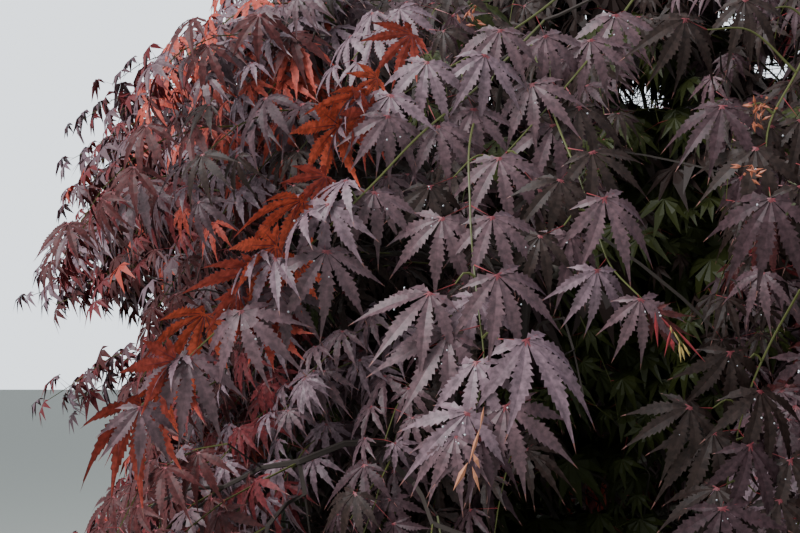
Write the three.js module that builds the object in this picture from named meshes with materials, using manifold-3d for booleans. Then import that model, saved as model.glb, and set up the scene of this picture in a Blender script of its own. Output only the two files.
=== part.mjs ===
// A purple-leaved Japanese maple in leaf: a low mounded tree about 3 m high, weeping at its skirts.
// Millimetres, +Z up. The origin is the middle of the trunk's flat cut at ground level.
// Azimuths are degrees from +X towards +Y, and a place in the crown is an azimuth, a radius and a height.
import * as THREE from "three";
import { mergeVertices } from "three/addons/utils/BufferGeometryUtils.js";
import Module from "manifold-3d";

const wasm = await Module();
wasm.setup();

// Trunk
const TRUNK_TOP = new THREE.Vector3(75, -45, 560);
const TRUNK_BENDS = [new THREE.Vector3(-30, 20, 225), new THREE.Vector3(52, -27, 420)];
const TRUNK_RADIUS = 92;
const TRUNK_RINGS = 8;
const TRUNK_SIDES = 15;
const TRUNK_SHOULDER = 0.86; // share of the height where the top begins to round over
const TRUNK_CLOSING = 0.75; // how far it has rounded over at the top
const RING_CROWDING = 1.3; // crowds the rings towards the foot, where the flare bends most
const ROOT_FLARE = 80; // how far the foot stands out past the trunk
const ROOT_FLARE_HEIGHT = 110;
const ROOT_RIBS = 5;
const ROOT_RIB_DEPTH = 0.32; // share of the flare that the ribs swing by

// Limbs
const LIMB_SIDES = 6;
const LIMB_STEPS = 4;
const COLLAR_STEPS = 2;
const LIMB_BEND = 0.36; // how far a limb keeps its first and last directions, as a share of its length
const JOINT_GAP = 0.3;
// Each kind of limb: radii at its start and tip, slope at its tip, how much it leaves along its carrier,
// and how far its collar stands out past the limb that carries it
const MAIN_LIMB = { radii: [54, 36], tipSlope: 0.75, pull: 0.1, collar: 125 };
const SUB_LIMB = { radii: [32, 15], tipSlope: 0.35, pull: 0.5, collar: 60 };
const SKIRT_LIMB = { radii: [22, 14], tipSlope: -0.3, pull: -0.2, collar: 90 };
const LEADER_LIMB = { radii: [52, 24], tipSlope: 6, pull: 0.1, collar: 125 };
const UPPER_LIMB = { radii: [24, 14], tipSlope: 0.4, pull: 0.2, collar: 60 };
const REACH_LIMB = { radii: [20, 13], tipSlope: 0, pull: 0.2, collar: 60 };
const UNDER_SHARE = 0.42; // where a skirt bough leaves a main limb
const BESIDE_SHARE = 0.3; // and where one leaves a middle bough
const REACH_SHARE = 0.42;
const MAIN_AZIMUTHS = [350, 110, 230];
const FORK_SHARES = [0.8, 0.88, 0.96]; // where each main limb leaves the trunk
const CROTCH = { radius: 600, height: 1080 };
const SUB_SWING = 30; // degrees to each side of the main limb

// Foliage masses: the place of each centre, half-sizes outward, sideways and up, the lean from level,
// the bough's tip (root), and the share of the outward half-size behind which no spray hangs (inner)
const MIDDLE = {
  radius: 1440, height: 1690, half: [800, 860, 580], tilt: 22, root: [930, 1500], inner: -0.35,
};
const SKIRT = {
  radius: 1520, height: 980, half: [740, 900, 560], tilt: 30, root: [960, 1085], inner: -0.3,
};
const UNDER_ROOT = [970, 960]; // the tip of a skirt bough that passes under a main limb
const UPPER = {
  radius: 920, height: 2220, half: [820, 820, 520], tilt: 24, root: [480, 1960], inner: -0.8,
};
const CROWN_TOP = {
  azimuth: 330, radius: 60, height: 2610, half: [800, 800, 470], tilt: 0, inner: -1,
};
const REACH = {
  azimuth: 229, radius: 1990, height: 1500, half: [640, 580, 460], tilt: 24, inner: -0.5,
};
const REACH_ROOT = { radius: 1540, height: 1600 };
const UPPER_AZIMUTHS = [196, 268, 340, 52, 124];
const UPPER_SHARES = [0.58, 0.66, 0.62, 0.7, 0.54]; // where each upper limb leaves the leader
const LEADER_TIP = { radius: 70, height: 2230 };
const MASS_GAP = 6; // clear space between neighbouring masses
const LIMB_CLEAR = 6; // clear space between foliage and the limbs
const UNEVEN = 55; // how far a mass's centre strays from its ring
const SAMPLE_STEP = 25; // how closely the limbs are sampled when foliage keeps clear of them

// Twigs and leaves: each leaf stands for a spray
const SPRAY_SPACING = 350;
const SPRAY_TRIES = 2600;
const SPRAY_DEPTHS = [0.5, 0.84]; // shares of a mass's half-sizes between which the sprays lie
const TWIG_STEP = 380;
const TWIG_ARCH = 0.16; // rise of a twig's middle, as a share of its length
const PATH_WEIGHT = 0.35; // how much a twig minds the way back to the stem
const JOIN_TRIES = 4;
const JOIN_BACK = 0.12; // how far before a node its side twigs start, as a share of the stretch
const TWIG_RADIUS = 6.5;
const TWIG_GROWTH = 0.38; // power of the leaf count that thickens a twig
const STEM_LENGTH = 70;
const LEAF_LENGTH = 385;
const LEAF_SPREAD = 0.16; // share by which leaf lengths vary
const LEAF_TRIES = 7;
const LEAF_SHRINK = 0.95;
const LEAF_RETREAT = 0.7; // how much each further try turns a leaf back towards its mass's middle
const LEAF_LIFT = 0.4; // how much a leaf's face turns up
const LEAF_DROOP = 1.5; // how much a leaf hangs, beside how much it follows its twig
const LEAF_STRAY = 0.8; // how far it turns to either side
const LEAF_THICKNESS = 13;
const LEAF_SINK = 15; // how far before a twig's end its leaf is rooted
const LEAF_SAG = 0.2; // how far a lobe's tip hangs below the leaf's plane, as a share of its reach
const NOTCH_REACH = 0.42;
const LEAF_BASE = { turn: 180, reach: 0.4 }; // the wedge that runs from the lobes back into the twig
const LOBES = [
  { turn: -88, reach: 0.62 },
  { turn: -45, reach: 0.88 },
  { turn: 0, reach: 1 },
  { turn: 45, reach: 0.88 },
  { turn: 88, reach: 0.62 },
];
const SEED = 4222;

const UP = new THREE.Vector3(0, 0, 1);

const bark = new THREE.MeshStandardMaterial({ color: 0x6b5f55, roughness: 0.85, metalness: 0 });
const foliage = new THREE.MeshStandardMaterial({ color: 0x5a3a44, roughness: 0.6, metalness: 0 });

// Numbers from 0 to 1 that come out alike each time
function seededRandom(seed) {
  let state = seed >>> 0;
  return () => {
    state = (state + 0x6d2b79f5) >>> 0;
    let mixed = Math.imul(state ^ (state >>> 15), state | 1);
    mixed ^= mixed + Math.imul(mixed ^ (mixed >>> 7), mixed | 61);
    return ((mixed ^ (mixed >>> 14)) >>> 0) / 2 ** 32;
  };
}

function outwardAt(azimuth) {
  const turn = THREE.MathUtils.degToRad(azimuth);
  return new THREE.Vector3(Math.cos(turn), Math.sin(turn), 0);
}

function place(azimuth, radius, height) {
  return outwardAt(azimuth).multiplyScalar(radius).setZ(height);
}

function geometryOf(points, index) {
  const geometry = new THREE.BufferGeometry();
  const flat = points.flatMap((point) => point.toArray());
  geometry.setAttribute("position", new THREE.Float32BufferAttribute(flat, 3));
  geometry.setIndex(index);
  return geometry;
}

function toSolid(geometry) {
  const merged = mergeVertices(geometry, 1e-4);
  const mesh = new wasm.Mesh({
    numProp: 3,
    vertProperties: new Float32Array(merged.attributes.position.array),
    triVerts: new Uint32Array(merged.index.array),
  });
  return new wasm.Manifold(mesh);
}

function toGeometry(solid) {
  const mesh = solid.getMesh();
  const geometry = new THREE.BufferGeometry();
  geometry.setAttribute("position", new THREE.BufferAttribute(mesh.vertProperties, 3));
  geometry.setIndex(new THREE.BufferAttribute(mesh.triVerts, 1));
  geometry.computeVertexNormals();
  return geometry;
}

// One closed body from many: loose scraps are dropped and sealed hollows filled
function fuse(solids) {
  const joined = wasm.Manifold.union(solids);
  const bodies = joined.decompose().sort((a, b) => b.volume() - a.volume());
  return toGeometry(bodies[0]);
}

// A closed skin over rings of points, each ring turning the same way about the line of travel
function loft(rings) {
  const sides = rings[0].length;
  const last = (rings.length - 1) * sides;
  const index = [];
  for (let first = 0; first < last; first += sides) {
    for (let side = 0; side < sides; side++) {
      const here = first + side;
      const next = first + ((side + 1) % sides);
      index.push(here, next, next + sides, here, next + sides, here + sides);
    }
  }
  for (let side = 1; side + 1 < sides; side++) {
    index.push(0, side + 1, side);
    index.push(last, last + side, last + side + 1);
  }
  return geometryOf(rings.flat(), index);
}

// The direction at each point of a way, halfway between its two stretches
function directionsAlong(points) {
  return points.map((point, i) => {
    const before = points[Math.max(i - 1, 0)];
    const after = points[Math.min(i + 1, points.length - 1)];
    return after.clone().sub(before).normalize();
  });
}

// A tapering tube through points, each ring square to its direction
function tube(points, radii, sides, directions) {
  const rings = [];
  const across = new THREE.Vector3(0.31, 0.87, 0.38);
  for (let i = 0; i < points.length; i++) {
    const along = directions[i];
    across.addScaledVector(along, -across.dot(along)).normalize();
    const third = along.clone().cross(across);
    const ring = [];
    for (let side = 0; side < sides; side++) {
      const turn = (2 * Math.PI * side) / sides;
      const point = points[i].clone();
      point.addScaledVector(across, radii[i] * Math.cos(turn));
      point.addScaledVector(third, radii[i] * Math.sin(turn));
      ring.push(point);
    }
    rings.push(ring);
  }
  return loft(rings);
}

function trunkCurve() {
  return new THREE.CubicBezierCurve3(new THREE.Vector3(), ...TRUNK_BENDS, TRUNK_TOP);
}

// The trunk's radius: even on top, spreading into root ribs at the foot
function trunkRadius(height, turn) {
  const flare = ROOT_FLARE * Math.exp(-height / ROOT_FLARE_HEIGHT);
  return TRUNK_RADIUS + flare * (1 + ROOT_RIB_DEPTH * Math.cos(ROOT_RIBS * turn));
}

function trunkBody(curve) {
  const rings = [];
  for (let i = 0; i < TRUNK_RINGS; i++) {
    const share = (i / (TRUNK_RINGS - 1)) ** RING_CROWDING;
    const middle = curve.getPoint(share);
    const over = Math.max(0, (share - TRUNK_SHOULDER) / (1 - TRUNK_SHOULDER));
    const rounding = Math.sqrt(1 - TRUNK_CLOSING * over ** 2);
    const ring = [];
    for (let side = 0; side < TRUNK_SIDES; side++) {
      const turn = (2 * Math.PI * side) / TRUNK_SIDES;
      const radius = trunkRadius(middle.z, turn) * rounding;
      const point = new THREE.Vector3(radius * Math.cos(turn), radius * Math.sin(turn), 0);
      ring.push(point.add(middle));
    }
    rings.push(ring);
  }
  return loft(rings);
}

// A limb that leaves its carrier's middle line at a share of its length and bends to its tip
function limb(name, carrier, share, tip, { radii, tipSlope, pull, collar }) {
  const start = carrier.curve.getPoint(share);
  const length = start.distanceTo(tip);
  const leaving = tip.clone().sub(start).normalize();
  leaving.addScaledVector(carrier.curve.getTangent(share), pull).normalize();
  const arriving = tip.clone().sub(start).setZ(0).normalize();
  arriving.addScaledVector(UP, tipSlope).normalize();
  const startHandle = start.clone().addScaledVector(leaving, length * LIMB_BEND);
  const endHandle = tip.clone().addScaledVector(arriving, -length * LIMB_BEND);
  const curve = new THREE.CubicBezierCurve3(start, startHandle, endHandle, tip);
  const radiusAt = (t) => THREE.MathUtils.lerp(radii[0], radii[1], t);
  const collarEnd = (carrier.radiusAt(share) + collar) / curve.getLength();
  const made = { name, curve, radiusAt, collarEnd, collars: [] };
  carrier.collars.push(made);
  return made;
}

// The part of a limb between two shares of its length, as a tube
function limbTube(made, from, to, steps) {
  const shares = [];
  for (let i = 0; i <= steps; i++) {
    shares.push(THREE.MathUtils.lerp(from, to, i / steps));
  }
  const points = shares.map((share) => made.curve.getPointAt(share));
  const directions = shares.map((share) => made.curve.getTangentAt(share));
  return toSolid(tube(points, shares.map(made.radiusAt), LIMB_SIDES, directions));
}

// A limb's own wood: the tube from its carrier's collar on, and a collar for each limb it carries
function limbBody(made) {
  const from = made.collarEnd + JOINT_GAP / made.curve.getLength();
  return fuse([limbTube(made, from, 1, LIMB_STEPS), ...made.collars.map(collarBody)]);
}

function collarBody(made) {
  return limbTube(made, 0, made.collarEnd, COLLAR_STEPS);
}

// All limbs, from the trunk's fork outward
function makeLimbs(trunk) {
  const limbs = {};
  const add = (name, ...rest) => {
    limbs[name] = limb(name, ...rest);
    return limbs[name];
  };
  MAIN_AZIMUTHS.forEach((azimuth, i) => {
    const crotch = place(azimuth, CROTCH.radius, CROTCH.height);
    const main = add(`main_bough_${i + 1}`, trunk, FORK_SHARES[i], crotch, MAIN_LIMB);
    [-SUB_SWING, SUB_SWING].forEach((swing, j) => {
      const number = 2 * i + j + 1;
      const tip = place(azimuth + swing, ...MIDDLE.root);
      const sub = add(`middle_bough_${number}`, main, 1, tip, SUB_LIMB);
      if (j === 0) {
        const under = place(azimuth, ...UNDER_ROOT);
        add(`skirt_bough_${number}`, main, UNDER_SHARE, under, SKIRT_LIMB);
      } else {
        const beside = place(azimuth + 2 * SUB_SWING, ...SKIRT.root);
        add(`skirt_bough_${number}`, sub, BESIDE_SHARE, beside, SKIRT_LIMB);
      }
    });
  });
  const leaderTip = place(UPPER_AZIMUTHS[0], LEADER_TIP.radius, LEADER_TIP.height);
  const leader = add("leader", trunk, 1, leaderTip, LEADER_LIMB);
  UPPER_AZIMUTHS.forEach((azimuth, i) => {
    const tip = place(azimuth, ...UPPER.root);
    add(`upper_bough_${i + 1}`, leader, UPPER_SHARES[i], tip, UPPER_LIMB);
  });
  const reachTip = place(REACH.azimuth, REACH_ROOT.radius, REACH_ROOT.height);
  add("reaching_bough", limbs.middle_bough_5, REACH_SHARE, reachTip, REACH_LIMB);
  return limbs;
}

// A foliage mass: a leaning ellipsoid about its centre, on the tip of one bough
function mass(name, bough, form, azimuth, stray) {
  const centre = place(azimuth, form.radius, form.height).add(stray);
  const tilt = THREE.MathUtils.degToRad(form.tilt);
  const outward = outwardAt(azimuth);
  const out = outward.clone().multiplyScalar(Math.cos(tilt)).addScaledVector(UP, -Math.sin(tilt));
  const lift = outward.clone().multiplyScalar(Math.sin(tilt)).addScaledVector(UP, Math.cos(tilt));
  const side = lift.clone().cross(out);
  return { name, bough, centre, axes: [out, side, lift], half: form.half, inner: form.inner };
}

// All masses: a middle and a skirt ring of six, an upper ring, the top and the one that reaches out
function makeMasses(limbs) {
  const random = seededRandom(SEED);
  const strayOne = () => UNEVEN * (2 * random() - 1);
  const stray = () => new THREE.Vector3(strayOne(), strayOne(), strayOne());
  const masses = [];
  MAIN_AZIMUTHS.forEach((azimuth, i) => {
    [-SUB_SWING, SUB_SWING].forEach((swing, j) => {
      const number = 2 * i + j + 1;
      const middleBough = limbs[`middle_bough_${number}`];
      const skirtBough = limbs[`skirt_bough_${number}`];
      const below = azimuth + (j === 0 ? 0 : 2 * SUB_SWING);
      masses.push(mass(`middle_foliage_${number}`, middleBough, MIDDLE, azimuth + swing, stray()));
      masses.push(mass(`skirt_foliage_${number}`, skirtBough, SKIRT, below, stray()));
    });
  });
  UPPER_AZIMUTHS.forEach((azimuth, i) => {
    const bough = limbs[`upper_bough_${i + 1}`];
    masses.push(mass(`upper_foliage_${i + 1}`, bough, UPPER, azimuth, stray()));
  });
  const still = new THREE.Vector3();
  masses.push(mass("crown_foliage", limbs.leader, CROWN_TOP, CROWN_TOP.azimuth, still));
  masses.push(mass("reaching_foliage", limbs.reaching_bough, REACH, REACH.azimuth, still));
  return masses;
}

// A point's distance from a mass's centre, as a share of its half-sizes
function depthIn(own, point) {
  const away = point.clone().sub(own.centre);
  const shares = own.axes.map((axis, i) => away.dot(axis) / own.half[i]);
  return Math.hypot(...shares);
}

// True where a point lies in a mass's own space: in its ellipsoid, on its side of each neighbour
function inSpace(own, point) {
  if (depthIn(own, point) > 1) {
    return false;
  }
  return own.neighbours.every((other) => {
    const between = other.centre.clone().sub(own.centre);
    const apart = between.length();
    const reach = point.clone().sub(own.centre).dot(between) / apart;
    return reach <= (apart - MASS_GAP) / 2;
  });
}

// Points along all limbs, each with the limb's radius there
function limbSamples(limbs) {
  const samples = [];
  for (const made of Object.values(limbs)) {
    const count = Math.ceil(made.curve.getLength() / SAMPLE_STEP);
    for (let i = 0; i <= count; i++) {
      samples.push({ at: made.curve.getPointAt(i / count), radius: made.radiusAt(i / count) });
    }
  }
  return samples;
}

// True where a point is clear of all limbs by their radius, its own and the clear space
function clearOfLimbs(own, point, radius) {
  return own.samples.every((sample) => {
    const least = sample.radius + radius + LIMB_CLEAR;
    return sample.at.distanceToSquared(point) > least ** 2;
  });
}

// Spray places in the outer shell of a mass, no two nearer than the spacing
function sprayPlaces(own) {
  const { random } = own;
  const places = [];
  for (let i = 0; i < SPRAY_TRIES; i++) {
    const height = 2 * random() - 1;
    const turn = 2 * Math.PI * random();
    const level = Math.sqrt(1 - height ** 2);
    const depth = THREE.MathUtils.lerp(...SPRAY_DEPTHS, random());
    const shares = [level * Math.cos(turn), level * Math.sin(turn), height];
    const point = own.centre.clone();
    shares.forEach((share, axis) => {
      point.addScaledVector(own.axes[axis], share * depth * own.half[axis]);
    });
    const behind = shares[0] * depth < own.inner;
    const crowded = places.some((other) => other.distanceTo(point) < SPRAY_SPACING);
    if (!behind && !crowded && inSpace(own, point)) {
      places.push(point);
    }
  }
  return places;
}

// The points of a twig that arches from a node to a spray's place
function twigWay(from, to) {
  const length = from.distanceTo(to);
  const middle = from.clone().add(to).multiplyScalar(0.5);
  middle.addScaledVector(UP, TWIG_ARCH * length);
  const arch = new THREE.QuadraticBezierCurve3(from, middle, to);
  return arch.getPoints(Math.max(1, Math.round(length / TWIG_STEP))).slice(1);
}

// Twigs by one rule: the nearest spray first, each from the node that makes its whole way short
function growTwigs(own) {
  const tip = own.bough.curve.getPoint(1);
  const along = own.bough.curve.getTangent(1);
  const start = tip.clone().addScaledVector(along, JOINT_GAP);
  const root = tip.clone().addScaledVector(along, STEM_LENGTH);
  const nodes = [
    { at: start, parent: null, way: 0, leaves: 0 },
    { at: root, parent: 0, way: STEM_LENGTH, leaves: 0 },
  ];
  const places = sprayPlaces(own);
  places.sort((a, b) => a.distanceTo(root) - b.distanceTo(root));
  for (const spray of places) {
    const cost = (node) => node.at.distanceTo(spray) + PATH_WEIGHT * node.way;
    const order = nodes.map((node, i) => i).slice(1);
    order.sort((a, b) => cost(nodes[a]) - cost(nodes[b]));
    for (const joinAt of order.slice(0, JOIN_TRIES)) {
      const way = [nodes[joinAt].at, ...twigWay(nodes[joinAt].at, spray)];
      const open = way.slice(1).every((point) => inSpace(own, point)
        && clearOfLimbs(own, point, 2 * TWIG_RADIUS));
      const wood = toSolid(tube(way, way.map(() => TWIG_RADIUS), 3, directionsAlong(way)));
      const leaf = open && misses(wood, nodes, "leaf", joinAt)
        && fittingLeaf(own, nodes, way, joinAt);
      if (!leaf) {
        continue;
      }
      let parent = joinAt;
      for (const point of way.slice(1)) {
        const length = nodes[parent].way + point.distanceTo(nodes[parent].at);
        nodes.push({ at: point, parent, way: length, leaves: 0 });
        parent = nodes.length - 1;
      }
      nodes[parent].leaf = leaf;
      nodes[parent].wood = wood;
      break;
    }
  }
  return nodes;
}

// True where a solid touches none of the nodes' own leaves or wood, apart from one node's
function misses(solid, nodes, kind, apartFrom) {
  return nodes.every((node, i) => {
    return i === apartFrom || !node[kind] || node[kind].intersect(solid).isEmpty();
  });
}

// The first of a few leaves, each shorter than the last, that keeps to its mass's space and off the rest
function fittingLeaf(own, nodes, way, joinAt) {
  for (let attempt = 0; attempt < LEAF_TRIES; attempt++) {
    const points = leafPoints(hangLeaf(own, way.at(-1), way.at(-2), attempt));
    if (leafFits(own, points)) {
      const leaf = toSolid(leafBody(points));
      if (misses(leaf, nodes, "leaf", null) && misses(leaf, nodes, "wood", joinAt)) {
        return leaf;
      }
    }
  }
  return null;
}

// The way out of a mass at a point: square to the ellipsoid through it
function outOf(own, point) {
  const away = point.clone().sub(own.centre);
  const out = new THREE.Vector3();
  own.axes.forEach((axis, i) => out.addScaledVector(axis, away.dot(axis) / own.half[i] ** 2));
  return out.normalize();
}

// A leaf hangs outward and down from its twig's end, its face turned out from the mass and a little up
function hangLeaf(own, end, before, attempt) {
  const twig = end.clone().sub(before).normalize();
  const root = end.clone().addScaledVector(twig, -LEAF_SINK);
  const outward = end.clone().setZ(0).normalize();
  const inward = own.centre.clone().sub(end).normalize();
  const face = outOf(own, end).addScaledVector(UP, LEAF_LIFT).normalize();
  const along = twig.add(outward).addScaledVector(UP, -LEAF_DROOP);
  along.addScaledVector(own.axes[1], LEAF_STRAY * (2 * own.random() - 1));
  along.addScaledVector(inward, LEAF_RETREAT * attempt);
  along.addScaledVector(face, -along.dot(face)).normalize();
  const size = LEAF_SHRINK ** attempt * (1 + LEAF_SPREAD * (2 * own.random() - 1));
  const length = LEAF_LENGTH * size;
  const hub = root.addScaledVector(along, LEAF_BASE.reach * length);
  return { hub, along, face, length };
}

// The rim and the two apexes of a drooping leaf with five lobes
function leafPoints(leaf) {
  const side = leaf.face.clone().cross(leaf.along);
  const corner = ({ turn, reach }, sag) => {
    const angle = THREE.MathUtils.degToRad(turn);
    const point = leaf.hub.clone();
    point.addScaledVector(leaf.along, Math.cos(angle) * reach * leaf.length);
    point.addScaledVector(side, Math.sin(angle) * reach * leaf.length);
    return point.addScaledVector(leaf.face, -sag * reach * leaf.length);
  };
  const rim = [];
  LOBES.forEach((lobe, i) => {
    rim.push(corner(lobe, LEAF_SAG));
    const next = LOBES[i + 1];
    rim.push(corner(next ? { turn: (lobe.turn + next.turn) / 2, reach: NOTCH_REACH } : LEAF_BASE, 0));
  });
  const above = leaf.hub.clone().addScaledVector(leaf.face, LEAF_THICKNESS / 2);
  const below = leaf.hub.clone().addScaledVector(leaf.face, -LEAF_THICKNESS / 2);
  return { rim, above, below };
}

function leafBody({ rim, above, below }) {
  const index = [];
  for (let i = 0; i < rim.length; i++) {
    const next = (i + 1) % rim.length;
    index.push(rim.length, i, next, rim.length + 1, next, i);
  }
  return geometryOf([...rim, above, below], index);
}

// True where the whole leaf keeps to its mass's space and off the limbs
function leafFits(own, points) {
  return [...points.rim, points.above, points.below].every((point) => inSpace(own, point)
    && clearOfLimbs(own, point.clone().lerp(points.above, 0.5), LEAF_THICKNESS)
    && clearOfLimbs(own, point, LEAF_THICKNESS));
}

// One mass's wood and leaves fused: a tube for each unbranched run of twig, thicker below more leaves
function massBody(own) {
  const nodes = growTwigs(own);
  const parts = [];
  nodes.forEach((node, i) => {
    if (!node.leaf) {
      return;
    }
    parts.push(node.leaf);
    for (let back = i; back !== null; back = nodes[back].parent) {
      nodes[back].leaves += 1;
    }
  });
  const radiusOf = (node) => Math.min(
    TWIG_RADIUS * node.leaves ** TWIG_GROWTH,
    own.bough.radiusAt(1),
  );
  const children = nodes.map(() => []);
  nodes.forEach((node, i) => {
    if (node.parent !== null && node.leaves > 0) {
      children[node.parent].push(i);
    }
  });
  const follow = (from, first) => {
    const run = [from];
    for (let at = first; at !== undefined; at = children[at][0]) {
      run.push(at);
      children[at].sort((a, b) => nodes[b].leaves - nodes[a].leaves);
      children[at].slice(1).forEach((branch) => follow(at, branch));
    }
    const points = run.map((at) => nodes[at].at);
    const radii = run.map((at) => radiusOf(nodes[at]));
    if (from !== 0) {
      points[0] = points[0].clone().lerp(nodes[nodes[from].parent].at, JOIN_BACK);
      radii[0] = radii[1];
    }
    parts.push(toSolid(tube(points, radii, 3, directionsAlong(points))));
  };
  children[0].forEach((first) => follow(0, first));
  own.leafCount = nodes[0].leaves;
  return fuse(parts);
}

function named(name, geometry, material) {
  const mesh = new THREE.Mesh(geometry, material);
  mesh.name = name;
  return mesh;
}

function buildTree() {
  const tree = new THREE.Group();
  const trunk = { curve: trunkCurve(), radiusAt: () => TRUNK_RADIUS, collars: [] };
  const limbs = makeLimbs(trunk);
  const trunkSolid = fuse([toSolid(trunkBody(trunk.curve)), ...trunk.collars.map(collarBody)]);
  tree.add(named("trunk", trunkSolid, bark));
  for (const made of Object.values(limbs)) {
    tree.add(named(made.name, limbBody(made), bark));
  }
  const masses = makeMasses(limbs);
  const samples = limbSamples(limbs);
  masses.forEach((own, i) => {
    own.random = seededRandom(SEED + i + 1);
    own.samples = samples;
    own.neighbours = masses.filter((other) => other !== own);
    const mesh = named(own.name, massBody(own), foliage);
    mesh.userData.leaves = own.leafCount;
    tree.add(mesh);
  });
  return tree;
}

const group = buildTree();
export default group;
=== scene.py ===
"""A purple-leaved Japanese maple in leaf: bark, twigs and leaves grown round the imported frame.

Metres, +Z up, the origin on the ground, in the middle of the trunk's foot. Azimuths are degrees from +X
towards +Y. The limbs and the spaces of the foliage masses follow the part's own rule, and twigs, shoots
and leaves carry it on finer.
"""

import math

import bpy
import numpy as np
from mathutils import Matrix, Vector, noise
from mathutils.kdtree import KDTree


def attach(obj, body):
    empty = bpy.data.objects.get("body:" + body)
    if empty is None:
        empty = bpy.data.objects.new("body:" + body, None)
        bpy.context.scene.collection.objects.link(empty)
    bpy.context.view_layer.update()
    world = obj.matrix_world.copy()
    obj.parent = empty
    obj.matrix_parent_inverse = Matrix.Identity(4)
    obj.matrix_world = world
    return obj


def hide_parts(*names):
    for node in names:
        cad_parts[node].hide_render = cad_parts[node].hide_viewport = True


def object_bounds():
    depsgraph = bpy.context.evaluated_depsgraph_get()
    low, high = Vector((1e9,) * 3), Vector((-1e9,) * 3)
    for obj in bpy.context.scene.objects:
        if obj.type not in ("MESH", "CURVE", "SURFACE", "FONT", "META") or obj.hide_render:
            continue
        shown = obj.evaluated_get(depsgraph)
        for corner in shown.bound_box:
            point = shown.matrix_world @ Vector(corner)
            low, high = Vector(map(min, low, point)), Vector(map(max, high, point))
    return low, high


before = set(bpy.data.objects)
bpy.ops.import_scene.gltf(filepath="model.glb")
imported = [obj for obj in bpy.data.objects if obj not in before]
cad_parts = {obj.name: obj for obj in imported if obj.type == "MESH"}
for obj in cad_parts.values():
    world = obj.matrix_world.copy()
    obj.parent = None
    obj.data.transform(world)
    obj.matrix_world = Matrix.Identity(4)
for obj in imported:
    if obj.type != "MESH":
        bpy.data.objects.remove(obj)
CAD_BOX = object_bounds()

UP = np.array([0.0, 0.0, 1.0])
LEVEL = np.array([1.0, 1.0, 0.0])  # takes the height out of a direction
ASKEW = np.array([0.31, 0.87, 0.38])  # a direction that no twig follows

# Trunk
TRUNK_CURVE = np.array([[0, 0, 0], [-0.030, 0.020, 0.225], [0.052, -0.027, 0.420], [0.075, -0.045, 0.560]])
TRUNK_RADIUS = 0.092
TRUNK_SHOULDER = 0.86
TRUNK_CLOSING = 0.75
TRUNK_SIDES = 48
TRUNK_RINGS = 44
ROOT_FLARE = 0.080
ROOT_FLARE_HEIGHT = 0.110
ROOT_RIBS = 5
ROOT_RIB_DEPTH = 0.32

# Limbs: radii at start and tip, slope at the tip, and how much each leaves along its carrier
LIMB_BEND = 0.36
MAIN_LIMB = {"radii": (0.054, 0.036), "slope": 0.75, "pull": 0.1}
SUB_LIMB = {"radii": (0.032, 0.015), "slope": 0.35, "pull": 0.5}
SKIRT_LIMB = {"radii": (0.022, 0.014), "slope": -0.3, "pull": -0.2}
LEADER_LIMB = {"radii": (0.052, 0.024), "slope": 6.0, "pull": 0.1}
UPPER_LIMB = {"radii": (0.024, 0.014), "slope": 0.4, "pull": 0.2}
REACH_LIMB = {"radii": (0.020, 0.013), "slope": 0.0, "pull": 0.2}
UNDER_SHARE = 0.42  # where along a main bough its skirt bough leaves it
BESIDE_SHARE = 0.3  # where along a middle bough its skirt bough leaves it
REACH_SHARE = 0.42  # where the reaching bough leaves its middle bough
MAIN_AZIMUTHS = (350, 110, 230)
FORK_SHARES = (0.8, 0.88, 0.96)
CROTCH = (0.600, 1.080)  # radius and height of the main boughs' tips
SUB_SWING = 30  # degrees by which middle boughs swing to either side
UPPER_AZIMUTHS = (196, 268, 340, 52, 124)
UPPER_SHARES = (0.58, 0.66, 0.62, 0.7, 0.54)
LEADER_TIP = (0.070, 2.230)
REACH_ROOT = (1.540, 1.600)
UNDER_ROOT = (0.970, 0.960)

# The skin over trunk and limbs
LIMB_SIDES = 18
LIMB_STEP = 0.03
FEWEST_RINGS = 12
SPINE_POINTS = 20  # along the trunk
LENGTH_POINTS = 50  # by which a limb's length is measured
CURVE_POINTS = 400  # by which even steps along a curve are found
SKIN_VOXEL = 0.0085
SKIN_SMOOTHING = 3
SKIN_EASING = 0.5
STREAK_SCALE = (70, 70, 14)  # of the bark's relief
STREAK_NOISE = (1.0, 2.2, 4)  # evenness, step from one octave to the next, octaves
SWELL_SCALE = 14
STREAK_HEIGHT = 0.010  # as a share of the limb's radius
SWELL_HEIGHT = 0.012

# Foliage masses: centre's radius and height, half-sizes outward, sideways and up, lean, inner side; their
# roots, on the boughs' tips, as radius and height
MIDDLE = {"centre": (1.440, 1.690), "half": (0.80, 0.86, 0.58), "tilt": 22, "inner": -0.35}
MIDDLE_ROOT = (0.930, 1.500)
SKIRT = {"centre": (1.520, 0.980), "half": (0.74, 0.90, 0.56), "tilt": 30, "inner": -0.3}
SKIRT_ROOT = (0.960, 1.085)
UPPER = {"centre": (0.920, 2.220), "half": (0.82, 0.82, 0.52), "tilt": 24, "inner": -0.8}
UPPER_ROOT = (0.480, 1.960)
CROWN_TOP = {"centre": (0.060, 2.610), "half": (0.80, 0.80, 0.47), "tilt": 0, "inner": -1.0}
CROWN_AZIMUTH = 330
REACH = {"centre": (1.990, 1.500), "half": (0.64, 0.58, 0.46), "tilt": 24, "inner": -0.5}
REACH_AZIMUTH = 229
MASS_GAP = 0.006
UNEVEN = 0.055
SEED = 4222

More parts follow.
